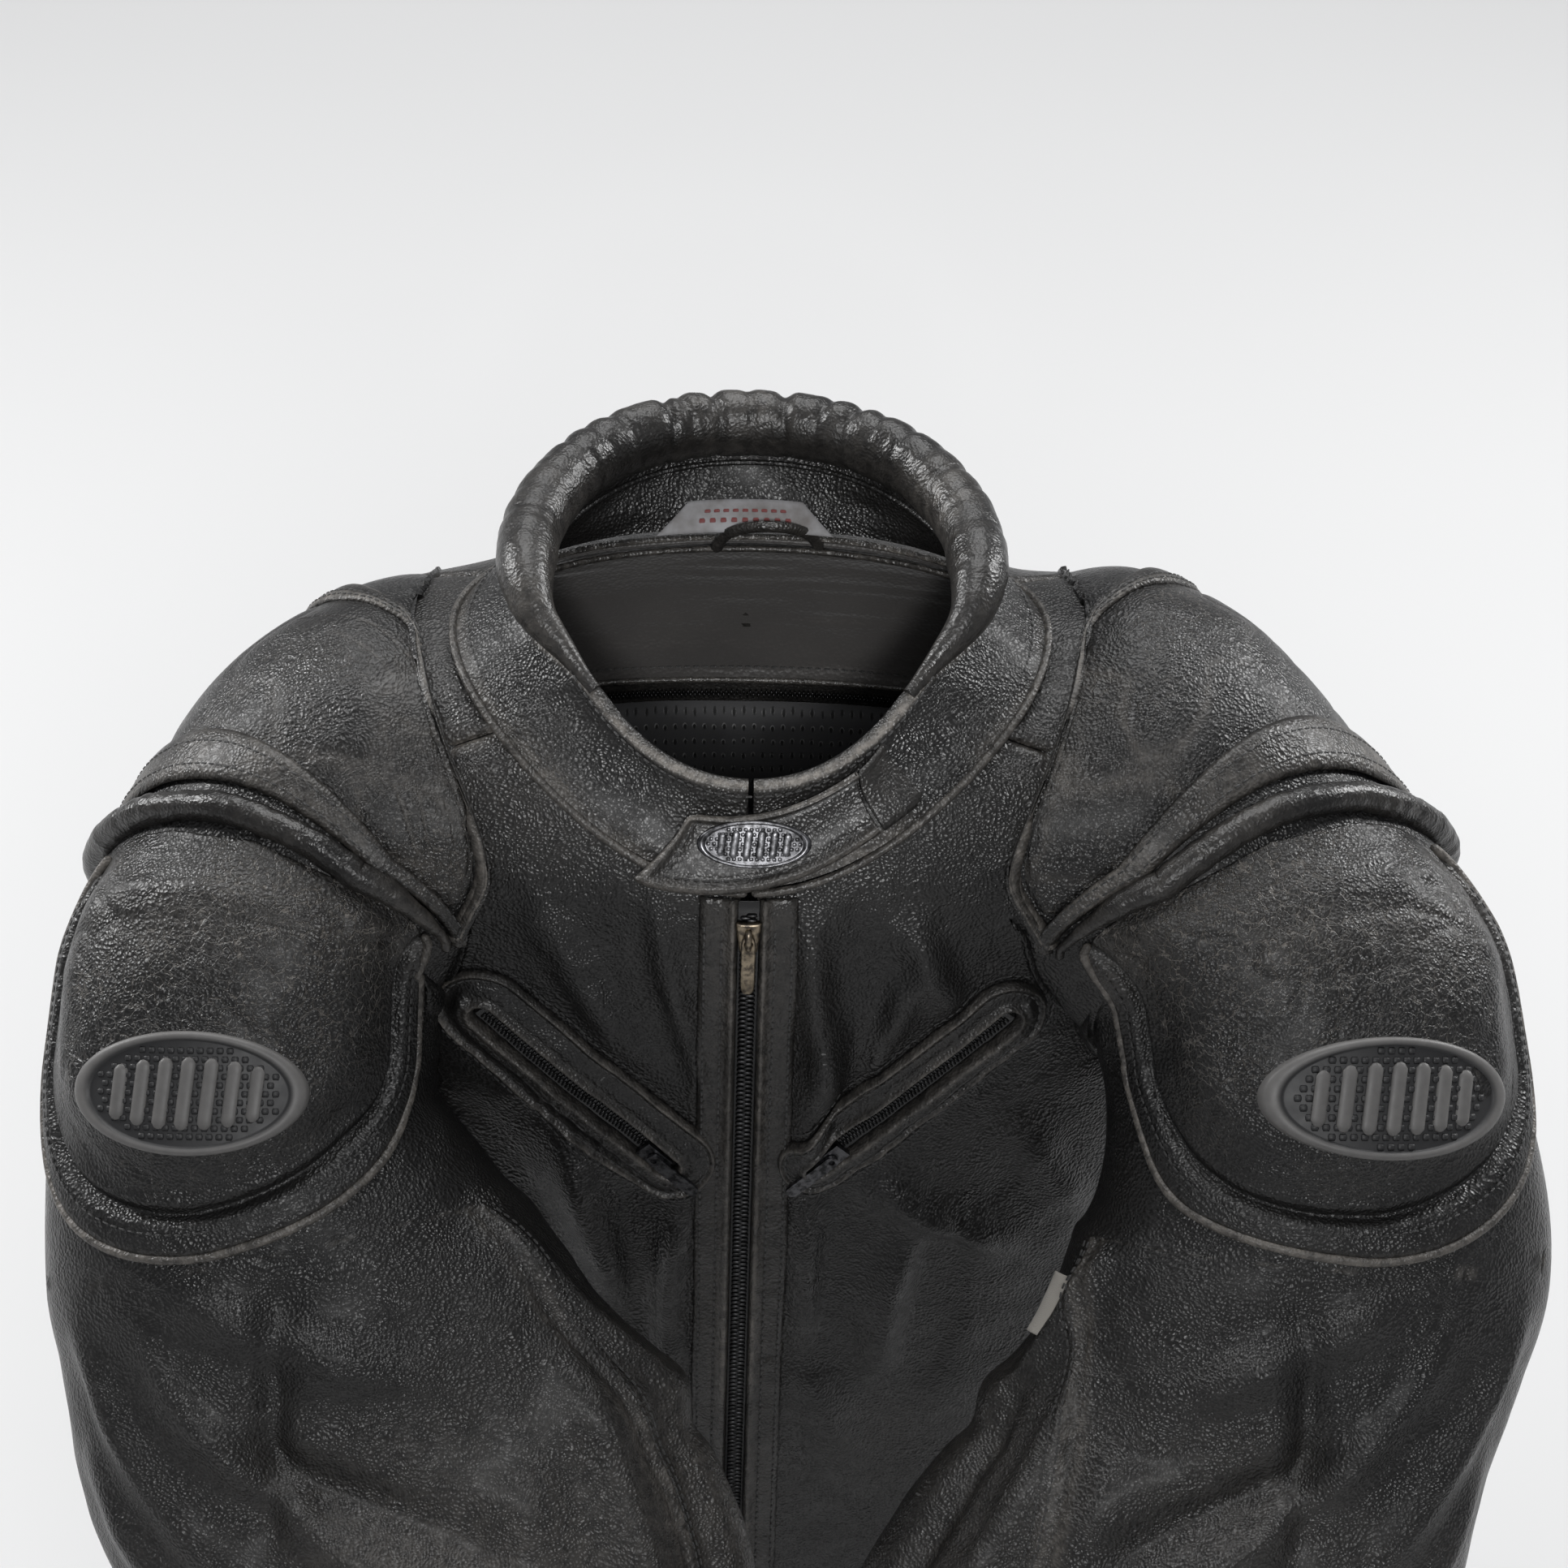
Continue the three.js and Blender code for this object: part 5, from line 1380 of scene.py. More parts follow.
def make_main_zip():
    heights = np.linspace(ZIP_BOTTOM, ZIP_TOP + 5, 120)
    tape = lambda u, v: zip_line(v, 0.2) + u[..., None] * np.array([1.0, 0, 0])
    strip = thickened(grid(np.array([-5.5, -2, 0, 2, 5.5]), heights, tape), 0.8)
    teeth = zip_chain(lambda t, aside, out: zip_line(ZIP_BOTTOM + (ZIP_TOP - ZIP_BOTTOM) * t, 0.2 + out)
                      + aside[..., None] * np.array([1.0, 0, 0]), 230, 2.4, 1.9)
    make("main_zip_tape", strip, "zip_tape")
    make("main_zip_teeth", teeth, "zip_teeth", replaces=["zip_chain"])

    for name, side in SIDES:
        edge = 3.6

        def placket_place(u, v, out=0.0):
            x = edge + (PLACKET_EDGE - edge) * u
            across = (PLACKET_EDGE - edge) * u
            bead = 2.0 * hump(across, 1.8, 1.7) - 1.4 * np.exp(-((across / 0.7) ** 2))
            gather = 0.0
            if side > 0:
                rows = stack(x, 0 * x, v)
                gather = 0.55 * noise(rows, (30, 9, 4.2), 91) * (1 - smoothstep(u, 0.72, 0.95))
            outer = -1.6 * np.exp(-(((PLACKET_EDGE - edge - across) / 1.2) ** 2))
            return chest_point(side * x, v, 2.4 + bead + gather + outer + out)

        columns = np.concatenate([np.linspace(0, 0.3, 10), np.linspace(0.36, 1, 12)])
        levels = np.linspace(HEM_HEIGHT + 1, ZIP_TOP + 6, 230)
        shape = grid(columns, levels, placket_place, flip=side < 0)
        u = np.meshgrid(columns, levels, indexing="ij")[0].ravel()
        shape.marks["wear"] = edge_wear(shape.points, np.abs(u * 13.4 - 1.8), 1.5) + 0.1
        make(f"leather_placket_{name}", thickened(shape, 2.0), "trim_leather",
             replaces=[f"placket_{name}"])
        sew("jacket_body", placket_place, np.full(300, 0.42), np.linspace(HEM_HEIGHT + 4, ZIP_TOP - 4, 300))
        sew("jacket_body", placket_place, np.full(300, 0.86), np.linspace(HEM_HEIGHT + 4, ZIP_TOP - 4, 300))

    box_place = lambda u, v: zip_line(4 + (ZIP_BOTTOM - 4.5) * v, 3.2 - 0.6
                                      * np.abs(u) ** 3) + (u * 3.5)[..., None] * np.array([1.0, 0, 0])
    box = thickened(grid(np.linspace(-1, 1, 12), np.linspace(0, 1, 12), box_place), 3.4)
    make("zip_foot_box", box, "dark_metal", replaces=["zip_bottom_box"])
    make_slider("main", zip_line, 9.0, ["zip_slider"], "zip_slider", "brass")
    eye = zip_line(ZIP_TOP - 8, 6.2)
    down = unit(zip_line(ZIP_BOTTOM, 0) - zip_line(ZIP_TOP, 0))
    make_puller("main", eye, down, np.array([0, -1.0, 0]), 26, 6, 1.8, "zip_puller", "zip_puller", "brass")


def make_slider(name, line, width, nodes, body, finish):
    """Slider body: a plate that narrows towards its foot, with a raised bridge for the puller."""
    back, length = 2.3, 13.0
    top = ZIP_TOP - 1

    def plate(u, v):
        taper = 1 - 0.32 * v
        out = back + 3.0 - 0.8 * np.abs(u) ** 4 - 0.5 * (2 * v - 1) ** 6
        return line(top - length * v, out) + (u * width / 2 * taper)[..., None] * np.array([1.0, 0, 0])

    body_shape = thickened(grid(np.linspace(-1, 1, 14), np.linspace(0, 1, 16), plate, flip=True), 2.8)
    steps = np.linspace(0, 1, 20)
    path = line(top - 2.5 - 8 * steps, back + 3.0 + 2.2 * np.sin(math.pi * steps) ** 0.5)
    bridge = tube(path, 1.0, 8, normals=np.broadcast_to(np.array([1.0, 0, 0]), path.shape), flatness=1.2)
    make(f"{name}_zip_slider_body", joined([body_shape, bridge]), finish, body=body,
         replaces=nodes)


def make_puller(name, eye, down, outward, length, width, thickness, node, body, finish):
    """Flat puller with a round eye, a waisted stem and a rounded end."""
    sideways = np.cross(down, outward)
    outline = []
    for t in np.linspace(0, 2 * math.pi, 72, endpoint=False):
        upper = math.cos(t) > 0
        waist = 1 - 0.16 * math.sin(math.pi * min(1, max(0, (1 - math.cos(t)) / 2))) ** 2
        x = math.copysign(abs(math.sin(t)) ** 0.55, math.sin(t)) * width / 2 * waist
        y = math.copysign(abs(math.cos(t)) ** 0.8, math.cos(t)) * length / 2 - length / 2 + width / 2
        outline.append((x, y if upper else y))
    outline = np.array(outline)
    count = len(outline)
    hole = np.array([(math.sin(t), math.cos(t)) for t in np.linspace(0, 2 * math.pi, count, endpoint=False)])
    hole = hole * width * 0.24 + (0, 0)
    rings = []
    for ring, height in ((hole, 0.35), (hole, 0.9), (hole * 1.15, 1.0), (outline * (0.86, 0.97), 1.0),
                         (outline, 0.75), (outline, 0.25), (outline * (0.86, 0.97), 0.0), (hole * 1.15, 0.0),
                         (hole, 0.1)):
        rings.append(eye + ring[:, :1] * sideways - ring[:, 1:] * down + outward * (height - 0.5)
                     * thickness)
    points = np.stack(rings)
    index = np.arange(points.shape[0] * count).reshape(-1, count)
    here = index
    there = np.roll(index, -1, axis=0)
    quads = np.stack([here, np.roll(here, -1, axis=1), np.roll(there, -1, axis=1), there],
                     axis=-1).reshape(-1, 4)
    make(f"{name}_zip_puller_tag", Shape(points.reshape(-1, 3), quads), finish, body=body,
         replaces=[node])


# ---- chest pockets ----
def pocket_place(side):
    outer = np.array([side * POCKET_OUTER[0], POCKET_OUTER[1]], float)
    inner = np.array([side * POCKET_INNER[0], POCKET_INNER[1]], float)
    length = float(np.linalg.norm(inner - outer))
    run = (inner - outer) / length
    rise = np.array([-run[1], run[0]]) * -side

    def onto(along, upward, out):
        place = outer + np.asarray(along)[..., None] * run + np.asarray(upward)[..., None] * rise
        return chest_point(place[..., 0], place[..., 1], out)

    return length, onto


def racetrack(length, turn, distance):
    """Point at a distance from a straight slot, for a turn from 0 to 1 round it: along and upward."""
    straight = length
    arc = math.pi * 9
    total = 2 * straight + 2 * arc
    at = np.mod(turn, 1) * total
    upper = at < straight
    inner_end = (at >= straight) & (at < straight + arc)
    lower = (at >= straight + arc) & (at < 2 * straight + arc)
    swing = np.where(inner_end, (at - straight) / arc * math.pi, (at - 2 * straight - arc) / arc * math.pi)
    along = np.where(upper, at, np.where(inner_end, straight + distance * np.sin(swing),
                                         np.where(lower, 2 * straight + arc - at,
                                                  -distance * np.sin(swing))))
    upward = np.where(upper, distance, np.where(inner_end, distance * np.cos(swing),
                                                np.where(lower, -distance, -distance * np.cos(swing))))
    return along, upward


def make_pocket(name, side):
    length, onto = pocket_place(side)
    slot_half, edge = 3.4, (18.0 if side < 0 else 15.0)

    def frame_place(turn, distance, out=0.0):
        along, upward = racetrack(length, turn, distance)
        above = smoothstep(upward, -2, 2)
        lip = 3.0 * hump(distance, slot_half + 1.6,
                         1.6) - 2.0 * np.exp(-(((distance - slot_half) / 0.6) ** 2))
        tube_below = 3.8 * hump(distance, 8.2, 2.8) * (1 - above)
        flap_above = 1.9 * hump(distance, 9.0, 4.0) * above
        border = 1.6 * hump(distance, edge - 1.4, 1.1) - 1.8 * np.exp(-(((distance - edge) / 0.6) ** 2))
        rows = stack(along, upward, 0 * along)
        gathers = 0.55 * noise(rows, (3.6, 12, 9), 95 + side) * (1 - above) + 0.4 * noise(rows, (14, 8, 9),
                                                                                          97)
        return onto(along, upward, 1.7 + lip + tube_below + flap_above + border + gathers + out)

    turns = np.linspace(0, 1, 300, endpoint=False)
    distances = np.linspace(slot_half, edge, 34)
    shape = grid(turns, distances, frame_place, wrap=True, flip=side > 0)
    distance = np.tile(distances, len(turns))
    near_edge = np.minimum(np.abs(distance - slot_half - 1.6), np.abs(distance - edge + 1.4))
    shape.marks["wear"] = edge_wear(shape.points, near_edge, 1.1)
    make(f"leather_pocket_frame_{name}", thickened(shape, 1.6), "trim_leather",
         replaces=[f"pocket_frame_{name}"])
    for offset in (edge - 3.4, edge + 2.2):
        wound = np.linspace(0, 1, 260)
        if offset < edge:
            sew("jacket_body", frame_place, wound, offset, thread=0.6)
        else:
            along, upward = racetrack(length, wound, offset)
            sew("jacket_body", onto, along, upward, thread=0.6)

    tape = thickened(grid(np.linspace(-1, length + 1, 60), np.linspace(-4.6, 4.6, 8),
                          lambda along, upward: onto(along, upward, 0.9), flip=side > 0), 0.6)
    make(f"pocket_zip_tape_{name}", tape, "zip_tape")
    teeth = zip_chain(lambda t, aside, out: onto(length * t, aside, 1.0 + out), 58, 1.7, 1.6)
    make(f"pocket_zip_teeth_{name}", teeth, "zip_teeth", replaces=[f"pocket_chain_{name}"])


# ---- sleeves ----
def make_sleeve(name, side):
    sections = np.concatenate([np.linspace(-0.13, 0.6, 22), np.linspace(0.64, 5.0, 88),
                               np.linspace(5.03, CUFF_SECTION, 150)])
    turns = np.arange(260) * 2 * math.pi / 260

    def seam_turn(section):
        if side < 0:
            return np.radians(148 - 4 * smoothstep(section, 6, 9))
        return np.radians(np.interp(section, [4.1, 5.75, 7.43, 9], [165, 152, 123, 112]))

    def seam_distance(section, around):
        return (around - seam_turn(section)) * 85 + 400 * (1 - smoothstep(section, 4.6, 5.2))

    def place(around, section):
        seam = seam_distance(section, around)
        valley = -1.7 * np.exp(-((seam / 1.5) ** 2)) + 0.9 * hump(seam, 4, 2.8)
        return sleeve_skin(side, section, around, valley)

    shape = grid(turns, sections, place, flip=side < 0, wrap=True)
    around = np.repeat(turns, len(sections))
    section = np.tile(sections, len(turns))
    seam = np.abs(seam_distance(section, around))
    worn = 0.3 * hump(seam, 2.6, 2.4) * (0.8 + noise(shape.points, 24, 101))
    dusty = 0.24 * smoothstep(section, 5.5, 8) * (0.6 + noise(shape.points, (60, 60, 60), 103))
    shape.marks["wear"] = worn + dusty
    shape.marks["crackle"] = 0.25 * smoothstep(section, 5, 6)
    piece = make(f"leather_sleeve_{name}", thickened(shape, LEATHER), "leather", body=None,
                 replaces=[f"upper_sleeve_{name}", f"forearm_sleeve_{name}"])
    blend_at_elbow(piece)
    steps = np.linspace(5.25, 9.2, 200)
    for offset in (4.0, 7.4):
        bent = seam_turn(steps) + offset / 85
        thread = stitches(*surface_path(lambda s, a, out: sleeve_skin(side, s, a, out), steps, bent, 1.1))
        row = make(f"sleeve_stitches_{name}_{'inner' if offset < 5 else 'outer'}", thread, "thread",
                   body=None)
        blend_at_elbow(row)


def blend_at_elbow(piece):
    elbow = arm_point(*[np.array(float(value)) for value in SLEEVE[ELBOW_SECTION][:3]])
    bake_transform(piece)


# Turn (degrees) where each crack begins and ends, its place down the panel there, and how far it drops
PANEL_CRACKS = [[10, 88, 0.34, -0.10, 201], [52, 104, 0.66, 0.16, 202], [70, 108, 0.60, 0.22, 203],
                [84, 108, 0.46, 0.10, 204], [30, 62, 0.52, -0.06, 205]]


def smooth_seam(around):
    return sum(shoulder_seam(around + math.radians(shift)) for shift in (-9, -4.5, 0, 4.5, 9)) / 5


def make_shoulder(name, side):
    """Armhole binding, shoulder panel and the padded ridge under it."""
    loop = np.radians(np.linspace(-58, 122, 300))

    def binding_place(around, across, out=0.0):
        height = 5.2 - 4.0 * np.abs(across) ** 5 - 1.0 * hump(across, 0.1, 0.14)
        section = smooth_seam(around) + 0.10 * across
        base = sleeve_point(side, section, around, 0)
        return sleeve_point(side, section, around, height + 0.4 * noise(base, 14, 111) + out)

    columns = np.linspace(-1, 1, 14)
    band = grid(loop, columns, binding_place, flip=side < 0)
    across = np.tile(columns, len(loop))
    band.marks["wear"] = 0.9 * hump(np.abs(across), 0.75,
                                    0.2) * (0.8 + 0.6 * noise(band.points, 22, 113)) + 0.08
    make(f"armhole_binding_{name}", thickened(band, 2.0), "trim_leather")
    for offset in (0.35, 0.75):
        sew("jacket_body", binding_place, loop[2:-2], offset, lift=0.1, thread=0.65)

    turns = np.radians(np.linspace(-50, 112, 190))

    def long_cracks(around, share):
        """Long flex cracks that run across one panel, from 0 to 1."""
        if side > 0:
            return np.zeros(np.shape(around))
        turn = np.degrees(around)
        total = np.zeros(np.shape(around))
        for first, last, start, drop, seed in PANEL_CRACKS:
            along = np.clip((turn - first) / (last - first), 0, 1)
            wander = 0.035 * noise(stack(turn, 0 * turn, 0 * turn), (13, 9, 9), seed)
            gone = np.abs(share - start - drop * along - wander) * 70
            ends = smoothstep(turn, first - 1, first + 6) * (1 - smoothstep(turn, last - 6, last + 1))
            total = np.maximum(total, ends * np.exp(-((gone / 1.0) ** 2)))
        return total

    def panel_place(around, share, out=0.0):
        upper = smooth_seam(around) + 0.09
        lower = ridge_section(around) - 0.27
        section = upper + (lower - upper) * share
        base = sleeve_point(side, section, around, 0)
        edge = np.minimum(share, 1 - share) * (lower - upper) * 40
        swell = 2.4 * smoothstep(edge, 0, 22)
        soft = 1.1 * noise(base, (48, 48, 48), 115 + side) + 0.5 * noise(base, (20, 20, 20), 116)
        line = np.maximum(creases(base, (24, 30, 24), 118 + side), long_cracks(around, share))
        return sleeve_point(side, section, around,
                            1.6 + swell + soft * smoothstep(edge, 0, 14) - 0.9 * line ** 3
                            + sunk_edge(edge, 3.0, 1.2) + out)

    panel = grid(turns, np.linspace(0, 1, 84), panel_place, flip=side < 0)
    base = panel.points
    flat_turn, flat_share = (a.ravel() for a in np.meshgrid(turns, np.linspace(0, 1, 84), indexing="ij"))
    lines = np.maximum(creases(base, (24, 30, 24), 118 + side) ** 3,
                       1.3 * long_cracks(flat_turn, flat_share))
    panel.marks["wear"] = 0.30 * lines * (0.5 + noise(base, 40, 119)) + 0.10 * np.maximum(noise(base, 50,
                                                                                                121), 0)
    panel.marks["crackle"] = 0.5 + 0.5 * noise(base, 60, 120)
    make(f"leather_shoulder_panel_{name}", thickened(panel, 2.0), "padded_leather",
         replaces=[f"shoulder_panel_{name}"])

    ridge_turns = np.radians(np.linspace(-30, 124, 330))

    def band_place(around, across, out=0.0):
        section = ridge_section(around) - 0.19 + 0.10 * across
        return sleeve_point(side, section, around, 5.0 - 2.4 * np.abs(across) ** 6 + out)

    band = grid(ridge_turns, np.linspace(-1, 1, 12), band_place, flip=side < 0)
    band.marks["wear"] = 0.3 + 0.3 * noise(band.points, 20, 123)
    make(f"ridge_band_{name}", thickened(band, 1.8), "trim_leather")
    for offset in (-0.45, 0.45):
        sew("jacket_body", band_place, ridge_turns[4:-4], offset, lift=0.1, thread=0.65)

    turn_share = np.linspace(0, 1, len(ridge_turns))
    ends = 0.3 + 0.7 * smoothstep(np.minimum(turn_share, 1 - turn_share), 0, 0.2)
    low, high = (sleeve_point(side, ridge_section(ridge_turns) + 0.02, ridge_turns, out)
                 for out in (3.4, 4.4))
    base = tube(low, 5.2 * ends, 26, normals=high - low, flatness=1.1)
    along = np.concatenate([[0], np.cumsum(np.linalg.norm(np.diff(low, axis=0), axis=1))])
    along = np.concatenate([along[:1], along, along[-1:]])
    ring = np.tile(np.arange(26) * 2 * math.pi / 26, len(along))
    rows = np.stack([np.repeat(along, 26), ring * 7, np.zeros(len(ring))], axis=1)
    wrinkle = 0.25 * noise(rows, (3.4, 20, 9), 125) + 0.35 * noise(rows, (16, 20, 9), 126)
    normals = point_normals(base)
    base.points[:len(ring)] += normals[:len(ring)] * wrinkle[:, None]
    base.marks["wear"] = np.concatenate([0.14 + 0.2 * noise(base.points[:len(ring)], 28, 127), [0, 0]])
    piece = make(f"padded_shoulder_ridge_{name}", base, "roll_leather",
                 replaces=[f"shoulder_ridge_{name}"])


BADGE_SPOT = (-0.02, 0.16)


def cup_place(side, x, y, out):
    """Point on a cup: x from -1 at the outer side to 1 at the chest, y from -1 at the top to 1 below."""
    downward = (y + 1) / 2
    last = CUP["top_last"] + (CUP["last"] - CUP["top_last"]) * smoothstep(downward, 0, 0.6)
    around = np.radians(CUP["first"] + (last - CUP["first"]) * (x + 1) / 2)
    upper = ridge_section(around) + CUP["below"]
    return sleeve_point(side, upper + (CUP["bottom"] - upper) * downward, around, out)


def make_cup(name, side):
    """Padded cup: a puffed crown inside a stitched groove, a flat rim, and piping round its outline."""
    spokes, rings = 340, 84
    turns = np.arange(spokes) * 2 * math.pi / spokes
    cosine, sine = np.cos(turns), np.sin(turns)
    power = np.where(sine < 0, 2 / 8.0, np.where(cosine < 0, 2 / 1.7, 2 / 2.1))
    edge_x = signed_power(cosine, power)
    edge_y = signed_power(sine, power)
    shares = np.concatenate([np.linspace(0.03, 0.70, 44), np.linspace(0.713, 1.0, rings - 44)])
    share, spoke = np.meshgrid(shares, np.arange(spokes), indexing="ij")
    x = (share * edge_x[spoke]).ravel()
    y = (share * edge_y[spoke]).ravel()
    reach = np.hypot(edge_x * 82, edge_y * 62)[spoke]
    inward = np.where(y < 0, (1 - np.abs(x)) * 82, ((1 - share) * reach).ravel())

    def relief(x, y, inward):
        """Height off the sleeve. At the top the crown comes out from under the ridge, with no rim."""
        base = cup_place(side, x, y, 0)
        tucked = smoothstep((y + 1) * 62, -4, 15)
        crown = 3.0 + 8.3 * smoothstep(inward, 14, 40) + 0.8 * smoothstep(inward, 30, 60)
        groove = -3.4 * hump(inward, 13.0, 2.0)
        rim = 3.4 - 1.6 * np.exp(-((inward / 1.6) ** 2)) + 0.3 * noise(base, 12, 131)
        height = (np.where(inward < 13, rim, np.maximum(rim, crown)) + groove) * (0.25 + 0.75 * tucked)
        top = hump(y, -0.76, 0.24)
        soft = smoothstep(inward, 13, 26)
        pillow = 1.1 * noise(base, (34, 34, 34), 133 + side) + 0.7 * noise(base, (15, 15, 15), 134 + side)
        pinch = -1.6 * top * creases(base, (26, 14, 14), 136 + side) ** 2
        crack = -0.5 * creases(base, (16, 16, 16), 138) ** 4
        flat_for_badge = 1 - 0.8 * np.exp(-(((x - BADGE_SPOT[0]) / 0.5) ** 2
                                            + ((y - BADGE_SPOT[1]) / 0.42) ** 2) ** 2)
        return height + soft * (pillow * flat_for_badge + pinch + crack)

    points = cup_place(side, x, y, relief(x, y, inward))
    index = np.arange(len(points)).reshape(share.shape)
    here, there = index[:-1], index[1:]
    quads = np.stack([here, there, np.roll(there, -1, axis=1), np.roll(here, -1, axis=1)],
                     axis=-1).reshape(-1, 4)
    middle = cup_place(side, np.zeros(1), np.zeros(1), relief(np.zeros(1), np.zeros(1), np.full(1, 66.0)))
    back = cup_place(side, x[-spokes:], y[-spokes:], 0.4)
    count = len(points)
    wall = np.stack([index[-1], count + 1 + np.arange(spokes), count + 1 + np.roll(np.arange(spokes), -1),
                     np.roll(index[-1], -1)], axis=-1)
    triangles = np.array([[count, index[0, k], index[0, (k + 1) % spokes]] for k in range(spokes)])
    quads = np.concatenate([quads, wall])
    if side > 0:
        quads, triangles = quads[:, ::-1], triangles[:, ::-1]
    everything = np.concatenate([points, middle, back])
    pad = np.zeros(1 + spokes)
    wear = np.concatenate([0.22 * hump(inward, 0.5, 1.5) + 0.16 * hump(y, -0.75, 0.3)
                           * (0.5 + noise(points, 26, 141)), pad])
    crackle = np.concatenate([(1 - 0.55 * smoothstep(y, -0.5, 0.6)) * smoothstep(inward, 14, 24), pad])
    shape = Shape(everything, quads, triangles, {"wear": wear, "crackle": crackle})
    badge_x, badge_y = (x - BADGE_SPOT[0]) / 0.5, (y - BADGE_SPOT[1]) / 0.36
    under_badge = 1 - smoothstep(np.hypot(badge_x, badge_y), 0.9, 1.25)
    held = np.concatenate([np.maximum(1 - smoothstep(inward, 15, 22), under_badge), [1], np.ones(spokes)])
    shape = filled(shape, held, 5.0)
    piece = make(f"padded_shoulder_cup_{name}", shape, "padded_leather",
                 replaces=[f"shoulder_cup_{name}"])

    quarter = spokes // 4
    around = np.arange(-quarter, spokes - quarter)
    around = around[edge_y[around] > -0.97]
    low = cup_place(side, edge_x[around], edge_y[around], 1.9)
    high = cup_place(side, edge_x[around], edge_y[around], 2.9)
    even = tube(low, 1.7, 10, normals=high - low)
    even.marks["wear"] = 0.62 + 0.3 * noise(even.points, 26, 143)
    make(f"cup_piping_{name}", even, "trim_leather")
    inset = 1 - 7.5 / np.hypot(edge_x * 82, edge_y * 62)
    ring = around[edge_y[around] > -0.9]
    onto = lambda u, v, out: cup_place(side, u, v, 3.6 + out)
    sew("jacket_body", onto, (edge_x * inset)[ring], (edge_y * inset)[ring], thread=0.7)

    around, half_length = (math.radians(84), 40) if side < 0 else (math.radians(77), 45)
    onto = plate_on(lambda a, section, out: sleeve_point(side, section, a, out), around, 3.79, 210)
    badge = oval_badge(onto, half_length, 21, 9.6, 15.4, 2.0, 24, 7)
    make(f"rubber_badge_{name}", badge, "rubber", replaces=[f"cup_badge_{name}"])


def make_cuff(name, side):
    turns = np.arange(140) * 2 * math.pi / 140
    start = CUFF_SECTION - 0.46

    def place(around, section):
        share = (section - start) / (CUFF_SECTION - start)
        base = sleeve_point(side, section, around, 0)
        swell = 1.8 + 0.8 * np.sin(math.pi * share) + 0.5 * noise(base, 16, 151)
        return sleeve_point(side, section, around,
                            swell + sunk_edge(np.minimum(share, 1 - share) * 32, 2.4, 1.4))

    band = grid(turns, np.linspace(start, CUFF_SECTION - 0.01, 26), place, flip=side < 0, wrap=True)
    band.marks["wear"] = 0.15 + 0.35 * smoothstep(np.tile(np.linspace(0, 1, 26), 140), 0.85, 1.0)
    make(f"leather_cuff_band_{name}", thickened(band, 1.6), "trim_leather", body=f"forearm_{name}",
         replaces=[f"cuff_band_{name}"])
    whole = np.linspace(0, 2 * math.pi, 160)
    for section in (start + 0.06, CUFF_SECTION - 0.07):
        sew(f"forearm_{name}", lambda s, a, out: sleeve_point(side, s, a, 2.6 + out), np.full(160, section),
            whole)
    zip_turn = math.radians(255)
    first, last = CUFF_SECTION - 1.62, CUFF_SECTION - 0.54
    onto = lambda t, aside, out: sleeve_point(side, first + (last - first) * t, zip_turn + aside / 46,
                                              1.2 + out)
    teeth = zip_chain(onto, 40, 1.8, 1.8)
    make(f"cuff_zip_teeth_{name}", teeth, "zip_teeth", body=f"forearm_{name}",
         replaces=[f"cuff_zip_chain_{name}"])


def make_sleeve_tag():
    place = lambda u, v: sleeve_point(1, 5.7 + 0.52 * v, np.radians(158 + 9 * u),
                                      3.4 + 1.2 * np.sin(u * 2.4))
    tag = thickened(grid(np.linspace(0, 1, 16), np.linspace(0, 1, 24), place), 0.8)
    make("woven_sleeve_tag", tag, "tag", replaces=["sleeve_tag"])


def make_armour(name, side):
    """Foam protectors inside the shoulder and the elbow."""
    pads = {"shoulder": ((25, 155), (3.1, 4.95), 7, "jacket_body"),
            "elbow": ((-66, 66), (7.15, 8.7), 6, f"forearm_{name}")}
    for part, (turns, sections, depth, body) in pads.items():
        surface = grid(np.radians(np.linspace(*turns, 40)), np.linspace(*sections, 24),
                       lambda around, section: sleeve_point(side, section, around, -LEATHER - 2.4),
                       flip=side < 0)
        make(f"foam_{part}_protector_{name}", thickened(surface, depth), "foam", body=body,
             replaces=[f"{part}_armour_{name}"])


# ---- CAD pieces that keep their shape ----
def finish_cad_nodes():
    finishes = {"back_pad": "foam"}
    for name, _ in SIDES:
        finishes.update({f"pocket_bag_{name}": "cloth", f"pocket_slider_{name}": "dark_metal",
                         f"pocket_puller_{name}": "dark_metal", f"cuff_slider_{name}": "dark_metal"})
    for node, finish in finishes.items():
        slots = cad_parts[node].material_slots
        for slot in slots:
            slot.material = MATERIALS[finish]


# ---- camera, lights and floor ----
LOOK_AT = Vector((0.0135, 0.1222, 0.494))
CAMERA_DISTANCE = 1.3
CAMERA_AZIMUTH = math.radians(-2)
CAMERA_ELEVATION = math.radians(40)
CAMERA_ROLL = math.radians(2)


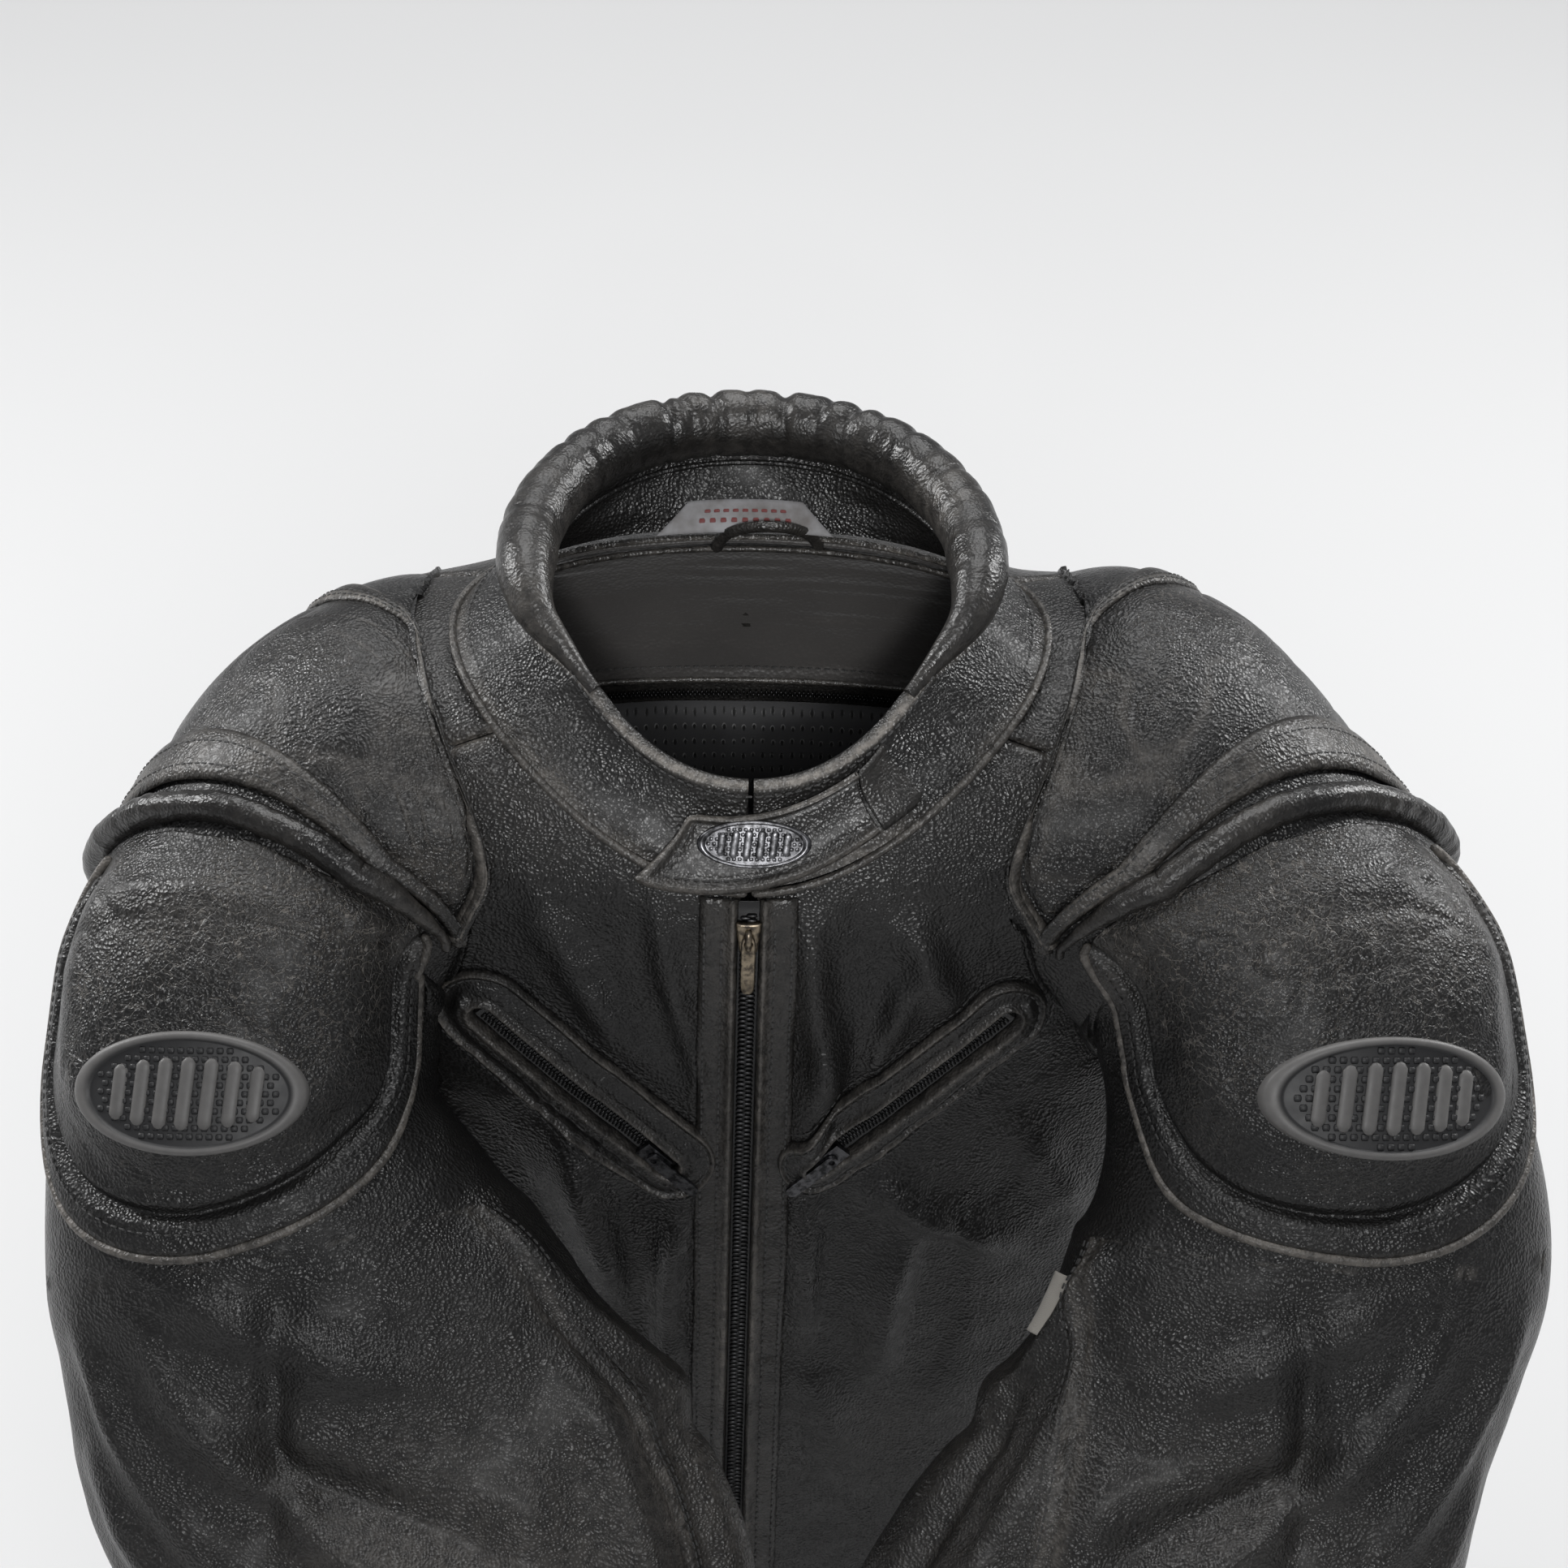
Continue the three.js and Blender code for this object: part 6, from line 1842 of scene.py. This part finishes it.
def make_camera():
    camera = bpy.data.cameras.new("camera")
    camera.lens = 82.1
    camera.sensor_width = 36
    holder = bpy.data.objects.new("camera", camera)
    bpy.context.scene.collection.objects.link(holder)
    flat = math.cos(CAMERA_ELEVATION)
    away = Vector((math.sin(CAMERA_AZIMUTH) * flat, -math.cos(CAMERA_AZIMUTH) * flat,
                   math.sin(CAMERA_ELEVATION)))
    right = Vector((math.cos(CAMERA_AZIMUTH), math.sin(CAMERA_AZIMUTH), 0))
    upward = away.cross(right)
    turned_right = right * math.cos(CAMERA_ROLL) + upward * math.sin(CAMERA_ROLL)
    turned_up = -right * math.sin(CAMERA_ROLL) + upward * math.cos(CAMERA_ROLL)
    turning = Matrix((turned_right, turned_up, away)).transposed().to_4x4()
    holder.matrix_world = Matrix.Translation(LOOK_AT + away * CAMERA_DISTANCE) @ turning
    bpy.context.scene.camera = holder


def area_light(name, place, size, power, aim=(0, 0.05, 0.42)):
    light = bpy.data.lights.new(name, "AREA")
    light.shape = "RECTANGLE"
    light.size, light.size_y = size
    light.energy = power
    holder = bpy.data.objects.new(name, light)
    bpy.context.scene.collection.objects.link(holder)
    direction = Vector(aim) - Vector(place)
    holder.matrix_world = Matrix.Translation(place) @ direction.to_track_quat("-Z", "Y").to_matrix().to_4x4()


def make_studio():
    world = bpy.data.worlds.new("studio")
    world.use_nodes = True
    world.node_tree.nodes["Background"].inputs["Color"].default_value = (0.93, 0.95, 1.0, 1.0)
    world.node_tree.nodes["Background"].inputs["Strength"].default_value = 0.2
    bpy.context.scene.world = world
    bpy.context.scene.view_settings.view_transform = "Standard"
    finish = Finish("studio_floor", (0.80, 0.80, 0.80), 0.9)
    finish.put(finish.shader, "Base Color",
               finish.blend(finish.noise(3.0), (0.60, 0.60, 0.60), (0.61, 0.61, 0.61)))
    reach = 30.0
    mesh = bpy.data.meshes.new("floor")
    mesh.from_pydata([(-reach, -reach, 0), (reach, -reach, 0), (reach, reach, 0), (-reach, reach, 0)], [],
                     [(0, 1, 2, 3)])
    mesh.materials.append(finish.material)
    floor = bpy.data.objects.new("floor", mesh)
    bpy.context.scene.collection.objects.link(floor)
    area_light("overhead", (0.0, 0.9, 3.6), (1.5, 1.0), 37)
    area_light("far_floor", (0.0, 2.8, 3.2), (3.0, 1.0), 56, (0, 2.3, 0))
    area_light("window_left", (-1.5, 0.7, 1.25), (0.3, 0.9), 22)
    area_light("window_right", (1.5, 0.9, 1.25), (0.3, 0.9), 20)
    area_light("front", (0.1, -1.5, 1.75), (0.7, 0.3), 13, (0, 0.2, 0.5))
    inside = bpy.data.lights.new("inside_fill", "SPOT")
    inside.energy = 30
    inside.spot_size = math.radians(10)
    inside.spot_blend = 0.8
    inside.shadow_soft_size = 0.05
    holder = bpy.data.objects.new("inside_fill", inside)
    bpy.context.scene.collection.objects.link(holder)
    place, aim = Vector((0.0, -0.95, 1.2)), Vector((0.0, 0.19, 0.5))
    holder.matrix_world = Matrix.Translation(place) @ (aim - place).to_track_quat("-Z",
                                                                                  "Y").to_matrix().to_4x4()


make_camera()
make_studio()
make_body()
make_collar_stand()
make_collar_seam()
make_collar_roll()
make_inside()
make_tab()
make_main_zip()
for side_name, side_sign in SIDES:
    make_pocket(side_name, side_sign)
    make_sleeve(side_name, side_sign)
    make_shoulder(side_name, side_sign)
    make_cup(side_name, side_sign)
    make_cuff(side_name, side_sign)
    make_armour(side_name, side_sign)
make_sleeve_tag()
finish_cad_nodes()
for body_name, rows in THREAD.items():
    make(f"stitching_{body_name}", joined(rows), "thread", body=body_name)
